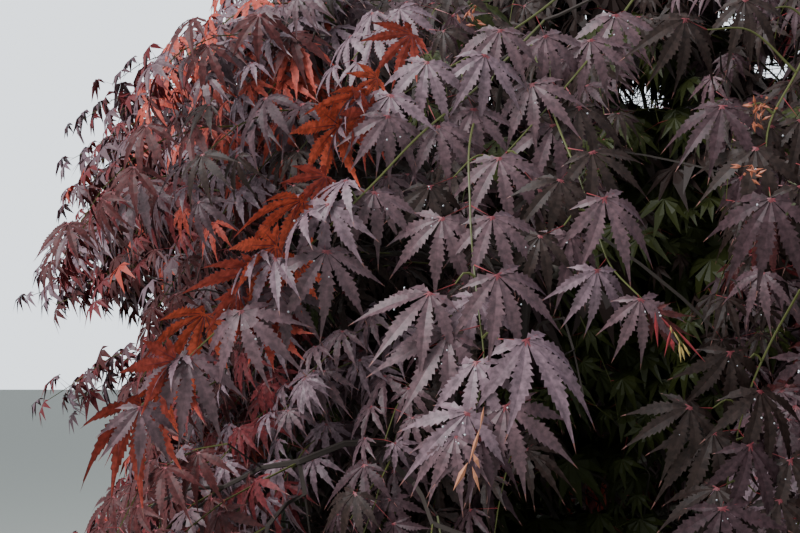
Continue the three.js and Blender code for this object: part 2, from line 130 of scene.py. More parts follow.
# Twigs of the masses
PATH_WEIGHT = 0.35
TWIG_ARCH = 0.16
TWIG_STEP = 0.06
STEM_LENGTH = 0.070
TWIG_RADIUS = 0.0014
TWIG_GROWTH = 0.42
THICK_TWIG = 0.004  # from this radius on a twig is five-sided
SPRAY_DEPTHS = (0.36, 0.90)
SPRAY_TRIES = 12000
NEAR_SPACING = 0.095  # between sprays that the main view shows
FAR_SPACING = 0.142
BOX_SLACK = 0.035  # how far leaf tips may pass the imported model's box
TIP_DEPTH = 1.05  # and a mass's ellipsoid, as a share of its half-sizes
LOWEST_LEAF = 0.38

# Shoots: the leafy ends of the twigs
SHOOT_NODES = 5
INTERNODE = 0.046
SHOOT_REACH = np.array([1.0, 1.0, 0.3])  # how far a shoot reaches sideways and up, as shares of its length
SHOOT_DROOP = 0.34
SHOOT_WANDER = 0.10
SHOOT_SCALES = (0.85, 1.15)
SHOOT_RADII = (0.0013, 0.0006)
PETIOLE = 0.026
PETIOLE_SHARES = (0.7, 1.5)
PETIOLE_RADIUS = (0.0004, 0.0045)  # metres, and metres more for each metre of leaf
LONGEST_PETIOLE = 0.038
LEAF_REACH = 0.068  # from a leaf's hub to its longest tip
LEAF_SHARES = (0.82, 1.15)
YOUNG_LEAF = 0.32  # how much smaller a shoot's last leaves are
FAR_SCALE = 1.5  # leaves outside the main view stand for a few
LEAF_DROOP = 1.35
FLAT_HEIGHTS = (2.05, 2.60)  # between these the leaves lie ever flatter, as they do on the crown's top
MIDDLE_RADIUS = 0.45  # of the crown's middle, where the shoots head all ways
FEWEST_LEAVES = 4  # on a shoot

# A leaf's lobes: turn from the middle one and reach; half-width along a lobe, as shares of its widest
LOBES = ((0, 1.0), (33, 0.95), (66, 0.78), (102, 0.40))
LOBE_STRAY = 3
LOBE_REACHES = (0.92, 1.06)
LOBE_WIDTH = 0.094
LOBE_SAG = (0.30, 0.75)
LOBE_FOLD = (0.10, 0.30)
LOBE_CURL = 0.06
WIDTH_PLACES = (0.05, 0.16, 0.28, 0.42, 0.55, 0.68, 0.80, 0.92, 1.0)
WIDTH_SHARES = (0.15, 0.29, 0.62, 0.96, 0.90, 0.54, 0.26, 0.10, 0.0)
TOOTH = 0.024
TOOTH_SHARES = (0.7, 1.2)
NOTCH = (0.10, 0.86)  # how far a notch lies past its tooth, and its share of the lobe's half-width
TEETH = (0.26, 0.72)  # where a lobe's teeth start and end
FINE_TEETH = 8  # on each side of the longest lobe
FEWER_TEETH = 4
TAIL = 0.78  # from here on a lobe is thin and toothless
TIP = 0.92  # and from here on tan
VEIN_WIDTH = 0.010
VEIN_LENGTH = 0.55
VEIN_LIFTS = (0.006, 0.008)  # above the blade, at the hub and at the vein's end
PLAIN_EDGE = 0.45  # where a lobe with straight edges is widest
PLAIN_WIDTH = 1.3
LEAF_THICKNESS = 0.012  # between the two sides of leaves that are red beneath, as a share of their reach
TOOTHED_FORMS = 6  # different leaves
PLAIN_FORMS = 8

MOST_FACES = 180000  # in one piece

# The photo's viewpoint
CAMERA_PLACE = Vector((-1.25, -2.95, 1.45))
CAMERA_PITCH = 5.0
LENS = 50.0
SENSOR = 36.0
PICTURE = (800, 533)
PIXEL = SENSOR / LENS / PICTURE[0]  # a pixel's width, a metre from the camera
VIEW_MARGIN = 60  # pixels beside the picture that count as in view for sprays
LEAF_MARGIN = 40  # and for leaves
CLOSE_MARGIN = 30  # and for what is kept clear of the camera
FINE_DISTANCE = 1.36  # leaves nearer to the camera than this have all their teeth
TOOTHED_DISTANCE = 1.80  # and nearer than this, fewer teeth
PLAIN_DISTANCE = 2.60  # and nearer than this, lobes bent in their middle
CLEAR_DISTANCE = 1.30  # nearer than this only the shoots placed from the picture grow
CLEAR_SLACK = 0.06  # by which single leaves may come nearer
BEHIND_DISTANCE = 1.34  # from here on sprays right of the side edge take tints of painted shade
SIDE_EDGE = 340  # left of this pixel one sees past the near sprays
SHADE_EDGE = 660  # right of this pixel all grown sprays take tints of painted shade
SHADE_END = 3.4  # and none beyond this, on the crown's far side
SHOWN_DISTANCE = 4.2  # how far one sees left of the side edge
FRONT_DISTANCE = 2.1  # and right of it

# Where the picture shows sky beside the crown, and the dark hollow beside the middle sprays (x, y, radius)
SKY = [
    (-400, -80), (180, -80), (176, 10), (156, 60), (106, 84), (62, 125), (74, 166), (56, 232), (20, 298),
    (72, 294), (132, 316), (150, 362), (96, 384), (36, 404), (112, 410), (150, 440), (62, 488), (16, 533),
    (-400, 900),
]
HOLLOWS = [
    (664, 90, 50), (664, 165, 62), (668, 240, 70), (640, 320, 70), (660, 400, 75), (620, 480, 85),
    (550, 520, 60), (690, 520, 60),
]
HOLLOW_DEPTH = 1.80  # nothing grows in front of the hollow up to here
HOLLOW_END = 3.0  # and up to here its leaves are dark green or the darkest tint, painted shade
HOLLOW_DETOUR = 0.8  # added to a twig's way where it would cross in front of the hollow
GAPS = [(627, 93, 11), (650, 101, 8), (773, 66, 10), (727, 15, 9)]  # small holes where sky shows through

# Stage
SKY_COLOUR = (0.84, 0.90, 0.97)
SKY_LIGHT = 0.76
SKY_BRIGHTNESS = 2.1  # as the camera sees it
FLOOR_HALF = 60.0
FLOOR_DROP = 0.001
LAMP_COLOUR = (0.97, 0.98, 1.0)
LAMPS = {  # place, spot that it faces, size and power
    "key": ((-4.6, -4.2, 5.2), (-0.9, -0.9, 1.4), 3.5, 470),
    "fill": ((4.6, 5.2, 4.6), (0.0, 0.0, 1.4), 5.0, 380),
}

# Leaf colours, as linear values
TINTS = {
    "plum": (0.106, 0.056, 0.064),
    # Partly a paler plum, partly painted sheen: the sky's light on waxy upper sides
    "lilac": (0.164, 0.101, 0.120),
    # Painted shade: the next two tints are the plum darkened, for leaves that lie in the crown's shade
    "shade": (0.055, 0.029, 0.034),
    "deep_shade": (0.033, 0.020, 0.017),
    # Painted shade: a dark red for sprays deep in the masses and on the crown's left
    "maroon": (0.070, 0.018, 0.018),
    # The next three tints are partly the leaves' own red, of young leaves and undersides, and partly painted
    # glow of light shining through them
    "garnet": (0.135, 0.022, 0.025),
    "ember": (0.390, 0.066, 0.046),
    "flame": (0.660, 0.115, 0.060),
    # Partly the inner leaves' own green, partly painted shade: kept dark for the crown's hollow
    "green": (0.034, 0.040, 0.010),
}
TINT_NAMES = list(TINTS)
TINT_MIXES = [  # a spray's tint, another for some of its leaves, and the shares between which they lie
    ("plum", "lilac", 0.00, 0.22), ("plum", "shade", 0.22, 0.38), ("lilac", "plum", 0.00, 0.30),
    ("garnet", "ember", 0.00, 0.24), ("garnet", "plum", 0.24, 0.50), ("ember", "garnet", 0.00, 0.30),
    ("deep_shade", "shade", 0.00, 0.20), ("deep_shade", "green", 0.20, 0.26), ("shade", "plum", 0.00, 0.15),
    ("shade", "deep_shade", 0.15, 0.45), ("ember", "plum", 0.30, 0.50),
    ("maroon", "plum", 0.00, 0.20), ("maroon", "garnet", 0.20, 0.34),
]
RED_BENEATH = ("ember", "flame")  # close up, leaves of these tints are lilac above, a paleness partly painted sheen

# How sprays get their tint: by a number from 0 to 1, and by place, as a share of their mass's half-sizes
LILAC_BELOW = 0.18  # the number below which a spray is lilac, a paler plum partly painted sheen
MAROON_ABOVE = 0.55  # and above which it is maroon, painted shade, where it lies within the next share
OUTER_DEPTH = 0.80
INNER_DEPTH = 0.58  # within this share all sprays are maroon, painted shade deep in the mass
RED_SHARES = (0.06, 0.42)  # how many sprays are red on all sides, and how many more on the sunny side, where the red is painted glow of light through the leaves
SUNNY_AZIMUTH = 195
SUNNY_SPREAD = 26
RED_DEPTH = 0.55  # beyond this share sprays can be red
EMBER_DEPTH = 0.75  # and beyond this, brighter red
EMBER_BELOW = 0.08  # the number below which they are
SHADE_BELOW = 0.4  # the number below which a spray with painted shade takes the lighter of its two dark tints
GREEN_BELOW = 0.75  # and below which one in the hollow is green, kept dark as painted shade
FRESH_ABOVE = 0.7  # the number above which a shoot's last leaves are garnet

# Blades: those with a bloom shine more and have a lilac sheen; close up all are mottled and wrinkled
LEAF_ROUGHNESS = 0.46
LEAF_SHINE = 0.18
BLOOMED = ("plum", "lilac")
BLOOM = {
    "Specular IOR Level": 0.38,
    "Sheen Weight": 0.12,
    "Sheen Roughness": 0.5,
    "Sheen Tint": (0.75, 0.62, 0.85, 1),
}
MOTTLE_SCALE = 190
MOTTLE_SHARES = (0.66, 1.40)  # of the tint, at the darkest and the palest
MOTTLE_PLACES = (0.36, 0.66)
WRINKLES = (0.35, 0.0007)  # strength and depth

# Bark
BARK_COLOUR = (0.2, 0.17, 0.14)
BARK_ROUGHNESS = 0.85
BARK_STREAKS = ((0.075, 0.058, 0.046), (0.27, 0.235, 0.20))
BARK_SCALE = 55
BARK_PLACES = (0.32, 0.70)
BARK_STRETCH = (1, 1, 0.22)
BARK_BUMPS = (0.5, 0.003)  # strength and depth
LICHEN_COLOUR = (0.30, 0.31, 0.26)
LICHEN_SCALE = 9
LICHEN_PLACES = (0.56, 0.66)
NOISE_DETAIL = 5

# Plain materials: colour and roughness
PAINTS = {
    "leaf_vein": ((0.20, 0.035, 0.045), 0.5),
    "leaf_tip": ((0.22, 0.09, 0.075), 0.5),
    "seed_wing": ((0.40, 0.12, 0.06), 0.5),
    "cream_buds": ((0.46, 0.33, 0.11), 0.45),
    "peach_buds": ((0.50, 0.20, 0.11), 0.45),
    "crimson_buds": ((0.25, 0.025, 0.03), 0.45),
    "twig_bark": ((0.032, 0.022, 0.017), 0.8),
    "olive_shoot": ((0.09, 0.098, 0.022), 0.5),
    "crimson_petiole": ((0.27, 0.037, 0.042), 0.4),
    # Painted glint: the clear drops are coloured pale grey, so that they show as bright specks
    "water": ((0.42, 0.43, 0.46), 0.04),
    "grey_floor": ((0.44, 0.46, 0.42), 0.9),
}
WATER_SHINE = 0.9

# Shoots placed from the picture. Stem points are (x, y) in the picture and metres from the camera. Leaves
# give the hub's (x, y), the turn of the middle lobe from straight down, the size and the tint. The camera
# sees those of "leaves" from above, those of "beneath" from below and those of "edgewise" from the side.
# The darkest tints given here are painted shade; lilac is partly painted sheen, ember and flame partly painted
# glow
SHOOTS = {
    "arching": {
        "stem": [
            (545, 20, 1.34), (480, 85, 1.18), (422, 133, 1.10), (375, 182, 1.07), (330, 226, 1.05),
            (285, 270, 1.04), (240, 310, 1.03), (190, 356, 1.02), (141, 406, 1.00),
        ],
        "leaves": [
            (374, 192, 10, 1.0, "plum"), (328, 204, -8, 1.05, "lilac"), (326, 251, 4, 1.15, "plum"),
            (279, 290, 18, 1.0, "plum"), (241, 311, 14, 1.1, "plum"), (189, 358, 2, 1.15, "plum"),
            (140, 407, 8, 0.85, "plum"), (275, 258, -38, 0.9, "lilac"),
        ],
        "beneath": [
            (205, 314, -52, 1.20, "flame"), (177, 360, -46, 1.0, "ember"), (142, 405, -40, 1.25, "ember"),
            (303, 200, -68, 1.1, "flame"), (258, 271, -56, 1.1, "ember"), (277, 246, -60, 1.05, "flame"),
            (240, 297, -38, 0.6, "ember"), (300, 262, -14, 0.8, "flame"), (268, 322, 4, 0.8, "ember"),
            (326, 176, -58, 0.8, "ember"), (160, 384, -20, 0.7, "flame"),
        ],
        "edgewise": [
            (262, 250, -62, 0.9, "lilac"), (244, 274, -22, 0.7, "lilac"), (184, 356, -64, 0.9, "lilac"),
            (308, 212, -52, 1.0, "lilac"), (346, 180, -62, 0.9, "lilac"),
        ],
    },
    "hanging": {
        "stem": [
            (500, 60, 1.34), (472, 130, 1.12), (470, 205, 1.05), (474, 268, 1.03), (480, 320, 1.01),
            (484, 365, 1.00), (476, 412, 0.98), (470, 455, 0.97),
        ],
        "leaves": [
            (442, 218, -14, 1.15, "plum"), (492, 217, 20, 1.1, "plum"), (430, 293, -48, 1.2, "plum"),
            (497, 275, 30, 1.2, "plum"), (477, 298, -16, 1.0, "lilac"), (448, 334, -36, 1.25, "plum"),
            (526, 340, 36, 1.45, "lilac"), (476, 362, -14, 1.0, "lilac"), (505, 406, 20, 1.2, "plum"),
            (467, 413, -24, 1.1, "lilac"), (455, 436, -30, 0.9, "plum"), (480, 438, 26, 0.9, "shade"),
        ],
    },
    "crossing": {
        "stem": [
            (530, 40, 1.38), (552, 110, 1.16), (580, 180, 1.08), (600, 240, 1.05), (612, 268, 1.04),
            (640, 297, 1.02), (665, 322, 1.01), (690, 354, 1.00),
        ],
        "leaves": [
            (570, 235, -6, 1.05, "plum"), (604, 198, 24, 1.2, "plum"), (597, 270, 2, 0.9, "lilac"),
            (640, 299, 8, 0.9, "plum"), (592, 152, 34, 1.1, "deep_shade"), (560, 180, -14, 0.9, "deep_shade"),
            (540, 236, -20, 0.9, "deep_shade"),
        ],
        "edgewise": [
            (655, 310, 14, 0.6, "maroon"),
        ],
    },
    "upper": {
        "stem": [
            (590, -30, 1.22), (535, 15, 1.18), (480, 50, 1.16), (430, 78, 1.14), (392, 100, 1.12),
        ],
        "leaves": [
            (390, 95, -18, 1.1, "lilac"), (388, 116, 4, 1.0, "plum"), (427, 62, -16, 1.05, "lilac"),
            (438, 126, 10, 1.0, "plum"), (473, 109, 12, 1.0, "plum"), (485, 55, 4, 1.1, "lilac"),
            (545, 36, 26, 1.05, "plum"), (500, 30, -10, 1.0, "plum"),
        ],
        "beneath": [
            (366, 96, -72, 1.0, "flame"), (339, 125, -50, 1.1, "flame"), (352, 118, -14, 0.7, "ember"),
            (374, 112, -54, 0.9, "ember"), (378, 78, -72, 0.6, "flame"), (412, 34, -60, 0.9, "ember"),
        ],
        "edgewise": [
            (340, 126, -34, 0.6, "lilac"), (360, 90, -50, 0.8, "lilac"),
        ],
    },
    "inner": {
        "stem": [
            (640, -10, 1.24), (600, 45, 1.20), (556, 98, 1.16), (520, 138, 1.13), (500, 160, 1.12),
        ],
        "leaves": [
            (532, 84, 0, 1.1, "plum"), (553, 125, 14, 1.2, "plum"), (499, 158, 6, 1.15, "plum"),
            (579, 107, 28, 1.1, "deep_shade"), (430, 186, 12, 1.0, "deep_shade"), (615, 15, 0, 1.05, "plum"),
            (540, 190, 0, 0.95, "deep_shade"), (590, 40, 20, 1.0, "plum"),
        ],
    },
    "right": {
        "stem": [
            (830, 10, 1.20), (795, 75, 1.16), (768, 130, 1.13), (770, 195, 1.10), (785, 240, 1.08),
        ],
        "leaves": [
            (722, 106, -14, 1.15, "shade"), (756, 148, -22, 1.2, "deep_shade"), (771, 126, 22, 1.0, "deep_shade"),
            (771, 199, -10, 1.35, "shade"), (800, 120, 20, 1.0, "deep_shade"), (800, 186, 24, 1.1, "deep_shade"),
            (685, 19, 4, 1.15, "deep_shade"), (745, 0, 10, 1.0, "deep_shade"),
        ],
    },
    "low": {
        "stem": [
            (800, 290, 1.26), (772, 340, 1.22), (750, 390, 1.20), (735, 445, 1.17), (725, 495, 1.15),
        ],
        "leaves": [
            (730, 352, 0, 1.25, "deep_shade"), (760, 391, 18, 1.4, "deep_shade"), (713, 432, -28, 1.35, "deep_shade"),
            (750, 445, 22, 1.35, "shade"), (717, 488, -40, 1.2, "deep_shade"), (722, 508, 6, 1.35, "shade"),
            (790, 460, 22, 1.2, "deep_shade"), (780, 500, 20, 1.2, "deep_shade"), (690, 407, -30, 1.25, "deep_shade"),
        ],
    },
}
LEAF_DEPTHS = {  # how far behind their stem they lie
    "leaves": (-0.03, 0.0),
    "beneath": (-0.01, 0.04),
    "edgewise": (-0.03, 0.0),
}
PETIOLE_RISE = 10  # pixels from a hub up to where its petiole meets the stem
STEM_STEP = 0.012
STEM_RADII = (0.0015, 0.0007)
SIDE_STEP = 0.006

# Slender buds and leaves still folded, at the ends of those shoots: from and to (x, y), metres, half-width
FOLDED = {
    "cream": [
        (670, 325, 672, 334, 1.00, 0.0011), (679, 341, 681, 363, 1.00, 0.0012),
        (683, 343, 690, 357, 1.00, 0.0012), (681, 346, 685, 361, 1.00, 0.0011),
        (673, 330, 681, 345, 1.00, 0.0008),
    ],
    "peach": [
        (468, 462, 453, 491, 0.91, 0.0026), (473, 453, 480, 469, 0.91, 0.0022),
        (480, 428, 469, 464, 0.91, 0.0017), (484, 406, 480, 430, 0.92, 0.0012),
        (472, 466, 480, 492, 0.91, 0.0019),
    ],
    "crimson": [
        (674, 327, 706, 363, 1.00, 0.0013), (672, 326, 664, 358, 1.00, 0.0012),
        (660, 316, 676, 334, 1.00, 0.0010), (671, 338, 674, 351, 1.00, 0.0022),
        (655, 311, 658, 348, 1.00, 0.0018), (121, 424, 98, 462, 1.00, 0.0012),
        (118, 420, 119, 458, 1.00, 0.0012), (126, 420, 104, 468, 0.99, 0.0012),
    ],
}
SPINDLE_MIDDLE = 0.42  # where buds and seeds are thickest

# Winged seeds: clusters placed from the picture (x, y, metres), and how many shoots bear others
SEED_CLUSTERS = [(756, 112, 1.10), (762, 106, 1.11), (752, 165, 1.08), (468, 12, 1.14)]
SEEDS = 9  # in a cluster
SEED_SPREAD = 0.007
SEED_LENGTH = 0.011
SEED_RADIUS = 0.0016
STALK_RADIUS = 0.0004
SEED_SHARE = 0.02

# Water drops on the leaves in front
DROPS = 110
DROP_RADII = (0.0005, 0.0012)
DROP_PLACES = (0.02, 0.45)  # along a leaf, as shares of its reach
DROP_STRAY = 0.10  # and beside its middle
DROP_LIFT = 0.8  # of a drop's middle above the leaf, as a share of its radius
DROP_RINGS = 6
DROP_SIDES = 7

# Sprigs that lie farther back: start and end as (x, y, metres from the camera), and the leaves' two tints
# The sprigs' maroon and shade tints are painted shade; lilac is partly painted sheen, ember partly painted
# glow
SPRIGS = [
    ((330, -20, 1.75), (176, 70, 1.55), "lilac", "ember"),
    ((300, 40, 1.70), (186, 140, 1.50), "lilac", "ember"),
    ((345, 70, 1.60), (196, 190, 1.42), "lilac", "ember"),
    ((350, 130, 1.55), (216, 222, 1.40), "lilac", "ember"),
    ((380, 0, 1.60), (260, 60, 1.45), "lilac", "ember"),
    ((360, 40, 1.55), (240, 130, 1.42), "lilac", "ember"),
    ((420, 330, 1.60), (306, 376, 1.45), "lilac", "plum"),
    ((400, 370, 1.60), (283, 410, 1.45), "lilac", "plum"),
    ((420, 380, 1.55), (385, 440, 1.42), "plum", "lilac"),
    ((330, 400, 1.70), (220, 460, 1.50), "lilac", "garnet"),
    ((360, 430, 1.65), (270, 500, 1.45), "lilac", "plum"),
    ((300, 330, 1.70), (250, 380, 1.50), "garnet", "lilac"),
    ((430, 450, 1.60), (350, 520, 1.45), "plum", "shade"),
    ((180, 366, 2.50), (48, 400, 2.35), "garnet", "lilac"),
    ((150, 300, 2.60), (30, 296, 2.45), "plum", "lilac"),
    ((280, 480, 1.70), (180, 520, 1.55), "lilac", "garnet"),
    ((170, 96, 2.85), (80, 122, 2.75), "plum", "garnet"),
    ((180, 140, 2.80), (74, 158, 2.70), "lilac", "garnet"),
    ((176, 180, 2.75), (70, 196, 2.65), "plum", "lilac"),
    ((170, 226, 2.70), (60, 232, 2.60), "plum", "garnet"),
    ((310, 6, 1.62), (186, 56, 1.50), "ember", "lilac"),
    ((336, 24, 1.58), (246, 84, 1.46), "ember", "plum"),
    ((420, 20, 1.40), (352, 60, 1.30), "ember", "lilac"),
    ((150, 262, 2.65), (44, 268, 2.55), "lilac", "plum"),
    ((190, 60, 2.80), (112, 84, 2.70), "garnet", "plum"),
    ((214, 92, 2.60), (118, 112, 2.50), "maroon", "garnet"),
    ((206, 124, 2.50), (100, 142, 2.40), "garnet", "maroon"),
    ((200, 160, 2.60), (90, 180, 2.50), "maroon", "plum"),
    ((196, 204, 2.50), (86, 216, 2.40), "garnet", "maroon"),
    ((190, 240, 2.60), (80, 250, 2.50), "maroon", "plum"),
    ((184, 276, 2.50), (88, 284, 2.40), "maroon", "garnet"),
    ((166, 278, 2.60), (60, 286, 2.50), "plum", "maroon"),
    ((160, 304, 2.50), (56, 304, 2.40), "maroon", "lilac"),
    ((176, 352, 2.40), (70, 386, 2.30), "maroon", "plum"),
    ((180, 380, 2.50), (74, 402, 2.40), "plum", "garnet"),
]
FIRST_TINT = 0.62  # how many of a sprig's leaves take the first tint


def unit(vectors):
    """The vectors at length 1."""
    vectors = np.asarray(vectors, float)
    return vectors / np.maximum(np.linalg.norm(vectors, axis=-1, keepdims=True), 1e-9)


def place(azimuth, radius, height):
    """A point in the crown."""
    turn = math.radians(azimuth)
    return np.array([radius * math.cos(turn), radius * math.sin(turn), height])


def beside(ways):
    """Two directions across each way, at right angles to each other."""
    across = unit(np.cross(ways, ASKEW))
    return across, np.cross(ways, across)


def evenly(points, count):
    """Points at even steps along a line."""
    way = way_along(points)
    steps = np.linspace(0, way[-1], count)
    return np.stack([np.interp(steps, way, points[:, axis]) for axis in range(3)], axis=1)


def way_along(points):
    """How far each point of a line lies along it."""
    return np.concatenate([[0], np.cumsum(np.linalg.norm(np.diff(points, axis=0), axis=1))])


def seeded_random(seed):
    """The part's own numbers from 0 to 1, so that its masses stray alike here."""
    state = seed

    def draw():
        nonlocal state
        state = (state + 0x6D2B79F5) & 0xFFFFFFFF
        mixed = ((state ^ (state >> 15)) * (state | 1)) & 0xFFFFFFFF
        mixed ^= (mixed + (mixed ^ (mixed >> 7)) * (mixed | 61)) & 0xFFFFFFFF
        return (mixed ^ (mixed >> 14)) / 2**32

    return draw


# Limbs, by the part's rule


def bezier(curve, shares):
    """Points of a cubic curve."""
    t = np.asarray(shares, float)[:, None]
    a, b, c, d = curve
    return (1 - t) ** 3 * a + 3 * (1 - t) ** 2 * t * b + 3 * (1 - t) * t**2 * c + t**3 * d


def bezier_tangent(curve, share):
    """The direction of a cubic curve."""
    a, b, c, d = curve
    t = share
    return unit((1 - t) ** 2 * (b - a) + 2 * (1 - t) * t * (c - b) + t**2 * (d - c))


def along(curve, count):
    """Points at even steps of a cubic curve's length."""
    return evenly(bezier(curve, np.linspace(0, 1, CURVE_POINTS)), count)


def limb(carrier, share, tip, kind):
    """A limb's curve and radii."""
    start = bezier(carrier["curve"], [share])[0]
    length = np.linalg.norm(tip - start)
    leaving = unit(unit(tip - start) + kind["pull"] * bezier_tangent(carrier["curve"], share))
    arriving = unit(unit((tip - start) * LEVEL) + kind["slope"] * UP)
    bend = LIMB_BEND * length
    curve = np.array([start, start + bend * leaving, tip - bend * arriving, tip])
    return {"curve": curve, "radii": kind["radii"]}


def make_limbs():
    """All limbs by name, from the trunk's fork outward."""
    trunk = {"curve": TRUNK_CURVE, "radii": (TRUNK_RADIUS, TRUNK_RADIUS)}
    limbs = {}
    for i, azimuth in enumerate(MAIN_AZIMUTHS):
        main = limb(trunk, FORK_SHARES[i], place(azimuth, *CROTCH), MAIN_LIMB)
        limbs[f"main_bough_{i + 1}"] = main
        for j, swing in enumerate((-SUB_SWING, SUB_SWING)):
            number = 2 * i + j + 1
            sub = limb(main, 1, place(azimuth + swing, *MIDDLE_ROOT), SUB_LIMB)
            limbs[f"middle_bough_{number}"] = sub
            if j == 0:
                skirt = limb(main, UNDER_SHARE, place(azimuth, *UNDER_ROOT), SKIRT_LIMB)
            else:
                beside_root = place(azimuth + 2 * SUB_SWING, *SKIRT_ROOT)
                skirt = limb(sub, BESIDE_SHARE, beside_root, SKIRT_LIMB)
            limbs[f"skirt_bough_{number}"] = skirt
    leader = limb(trunk, 1, place(UPPER_AZIMUTHS[0], *LEADER_TIP), LEADER_LIMB)
    limbs["leader"] = leader
    for i, azimuth in enumerate(UPPER_AZIMUTHS):
        tip = place(azimuth, *UPPER_ROOT)
        limbs[f"upper_bough_{i + 1}"] = limb(leader, UPPER_SHARES[i], tip, UPPER_LIMB)
    reach_tip = place(REACH_AZIMUTH, *REACH_ROOT)
    limbs["reaching_bough"] = limb(limbs["middle_bough_5"], REACH_SHARE, reach_tip, REACH_LIMB)
    return limbs


# Foliage masses, by the part's rule


def mass(name, bough, form, azimuth, stray):
    """A mass's space: a leaning ellipsoid on the tip of one bough."""
    tilt = math.radians(form["tilt"])
    outward = place(azimuth, 1, 0)
    out = math.cos(tilt) * outward - math.sin(tilt) * UP
    lift = math.sin(tilt) * outward + math.cos(tilt) * UP
    return {
        "name": name,
        "bough": bough,
        "centre": place(azimuth, *form["centre"]) + stray,
        "axes": np.array([out, np.cross(lift, out), lift]),
        "half": np.array(form["half"]),
        "inner": form["inner"],
    }


def make_masses(limbs):
    """All masses: a middle and a skirt ring, an upper ring, the top and the one that reaches out."""
    draw = seeded_random(SEED)
    masses = []

    def stray():
        return UNEVEN * (2 * np.array([draw(), draw(), draw()]) - 1)

    for i, azimuth in enumerate(MAIN_AZIMUTHS):
        for j, swing in enumerate((-SUB_SWING, SUB_SWING)):
            number = 2 * i + j + 1
            below = azimuth + (0 if j == 0 else 2 * SUB_SWING)
            middle = limbs[f"middle_bough_{number}"]
            skirt = limbs[f"skirt_bough_{number}"]
            masses.append(mass(f"middle_foliage_{number}", middle, MIDDLE, azimuth + swing, stray()))
            masses.append(mass(f"skirt_foliage_{number}", skirt, SKIRT, below, stray()))
    for i, azimuth in enumerate(UPPER_AZIMUTHS):
        masses.append(mass(f"upper_foliage_{i + 1}", limbs[f"upper_bough_{i + 1}"], UPPER, azimuth, stray()))
    masses.append(mass("crown_foliage", limbs["leader"], CROWN_TOP, CROWN_AZIMUTH, 0))
    masses.append(mass("reaching_foliage", limbs["reaching_bough"], REACH, REACH_AZIMUTH, 0))
    for own in masses:
        own["neighbours"] = [other["centre"] for other in masses if other is not own]
    return masses


def depth_in(own, points):
    """Distance of points from a mass's centre, as a share of its half-sizes."""
    return np.linalg.norm((points - own["centre"]) @ own["axes"].T / own["half"], axis=-1)


def in_space(own, points):
    """True where points lie in the mass's ellipsoid, on its side of each neighbour."""
    inside = depth_in(own, points) <= 1
    for other in own["neighbours"]:
        between = other - own["centre"]
        apart = np.linalg.norm(between)
        inside &= (points - own["centre"]) @ between / apart <= (apart - MASS_GAP) / 2
    return inside


def in_box(points):
    """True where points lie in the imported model's box, or little outside it, and above the lowest leaves."""
    low, high = (np.array(corner) for corner in CAD_BOX)
    inside = np.all((points > low - BOX_SLACK) & (points < high + BOX_SLACK), axis=-1)
    return inside & (points[..., 2] > LOWEST_LEAF)


# The photo's view, as numbers


def camera_axes():
    """The camera's right, up and forward directions."""
    pitch = math.radians(CAMERA_PITCH)
    forward = np.array([0, math.cos(pitch), math.sin(pitch)])
    return np.array([1.0, 0, 0]), np.array([0, -math.sin(pitch), math.cos(pitch)]), forward


def at_pixel(x, y, distance):
    """The point that shows at a pixel, at a distance along the view."""
    right, up, forward = camera_axes()
    scale = PIXEL * distance
    across = (x - PICTURE[0] / 2) * scale
    down = (y - PICTURE[1] / 2) * scale
    return np.array(CAMERA_PLACE) + distance * forward + across * right - down * up


def picture_place(points):
    """How far points lie along the view, and the pixels where they show."""
    right, up, forward = camera_axes()
    away = points - np.array(CAMERA_PLACE)
    ahead = away @ forward
    scale = PIXEL * np.maximum(ahead, 0.01)
    x = PICTURE[0] / 2 + away @ right / scale
    y = PICTURE[1] / 2 - away @ up / scale
    return np.where(ahead > 0.05, ahead, np.inf), x, y


def shown(points, margin):
    """True where points show in the picture, or within a margin of it in pixels."""
    ahead, x, y = picture_place(points)
    beyond_x = np.abs(x - PICTURE[0] / 2) - PICTURE[0] / 2
    beyond_y = np.abs(y - PICTURE[1] / 2) - PICTURE[1] / 2
    return (np.maximum(beyond_x, beyond_y) < margin) & np.isfinite(ahead)


def seen(points):
    """True where points show in the main view, with no more leaves before them than it can see through."""
    ahead, x, _ = picture_place(points)
    return shown(points, VIEW_MARGIN) & (ahead < np.where(x < SIDE_EDGE, SHOWN_DISTANCE, FRONT_DISTANCE))


def in_sky(points):
    """True where points show in the sky beside the crown."""
    _, x, y = picture_place(points)
    inside = np.zeros(x.shape, bool)
    for (x1, y1), (x2, y2) in zip(SKY, SKY[1:] + SKY[:1]):
        if y1 != y2:
            crosses = (y1 > y) != (y2 > y)
            inside ^= crosses & (x < x1 + (y - y1) * (x2 - x1) / (y2 - y1))
    return inside


def in_circles(points, circles):
    """True where points show in one of the picture's circles."""
    _, x, y = picture_place(points)
    inside = np.zeros(x.shape, bool)
    for centre_x, centre_y, radius in circles:
        inside |= np.hypot(x - centre_x, y - centre_y) < radius
    return inside


def before_hollow(points):
    """True where points would hide the dark hollow."""
    ahead, _, _ = picture_place(points)
    return in_circles(points, HOLLOWS) & (ahead < HOLLOW_DEPTH)


def left_open(points, nearest):
    """True where the main view keeps leaves out: close up, in the sky, and in front of the hollow."""
    ahead, _, _ = picture_place(points)
    close = shown(points, CLOSE_MARGIN) & (ahead < nearest)
    return close | in_sky(points) | before_hollow(points)


def over_gap(hubs, directions, faces_up, sizes):
    """True where a leaf's lobes would cover one of the small holes in the crown."""
    side = np.cross(directions, faces_up)
    covers = np.zeros(sizes.shape, bool)
    for turn, reach in LOBES:
        for swing in (math.radians(-turn), math.radians(turn)):
            lobe = math.sin(swing) * side + math.cos(swing) * directions
            for share in (0.25, 0.5, 0.75, 1.0):
                covers |= in_circles(hubs + share * reach * sizes[..., None] * lobe, GAPS)
    return covers


# Twigs of a mass, by the part's rule, carried finer


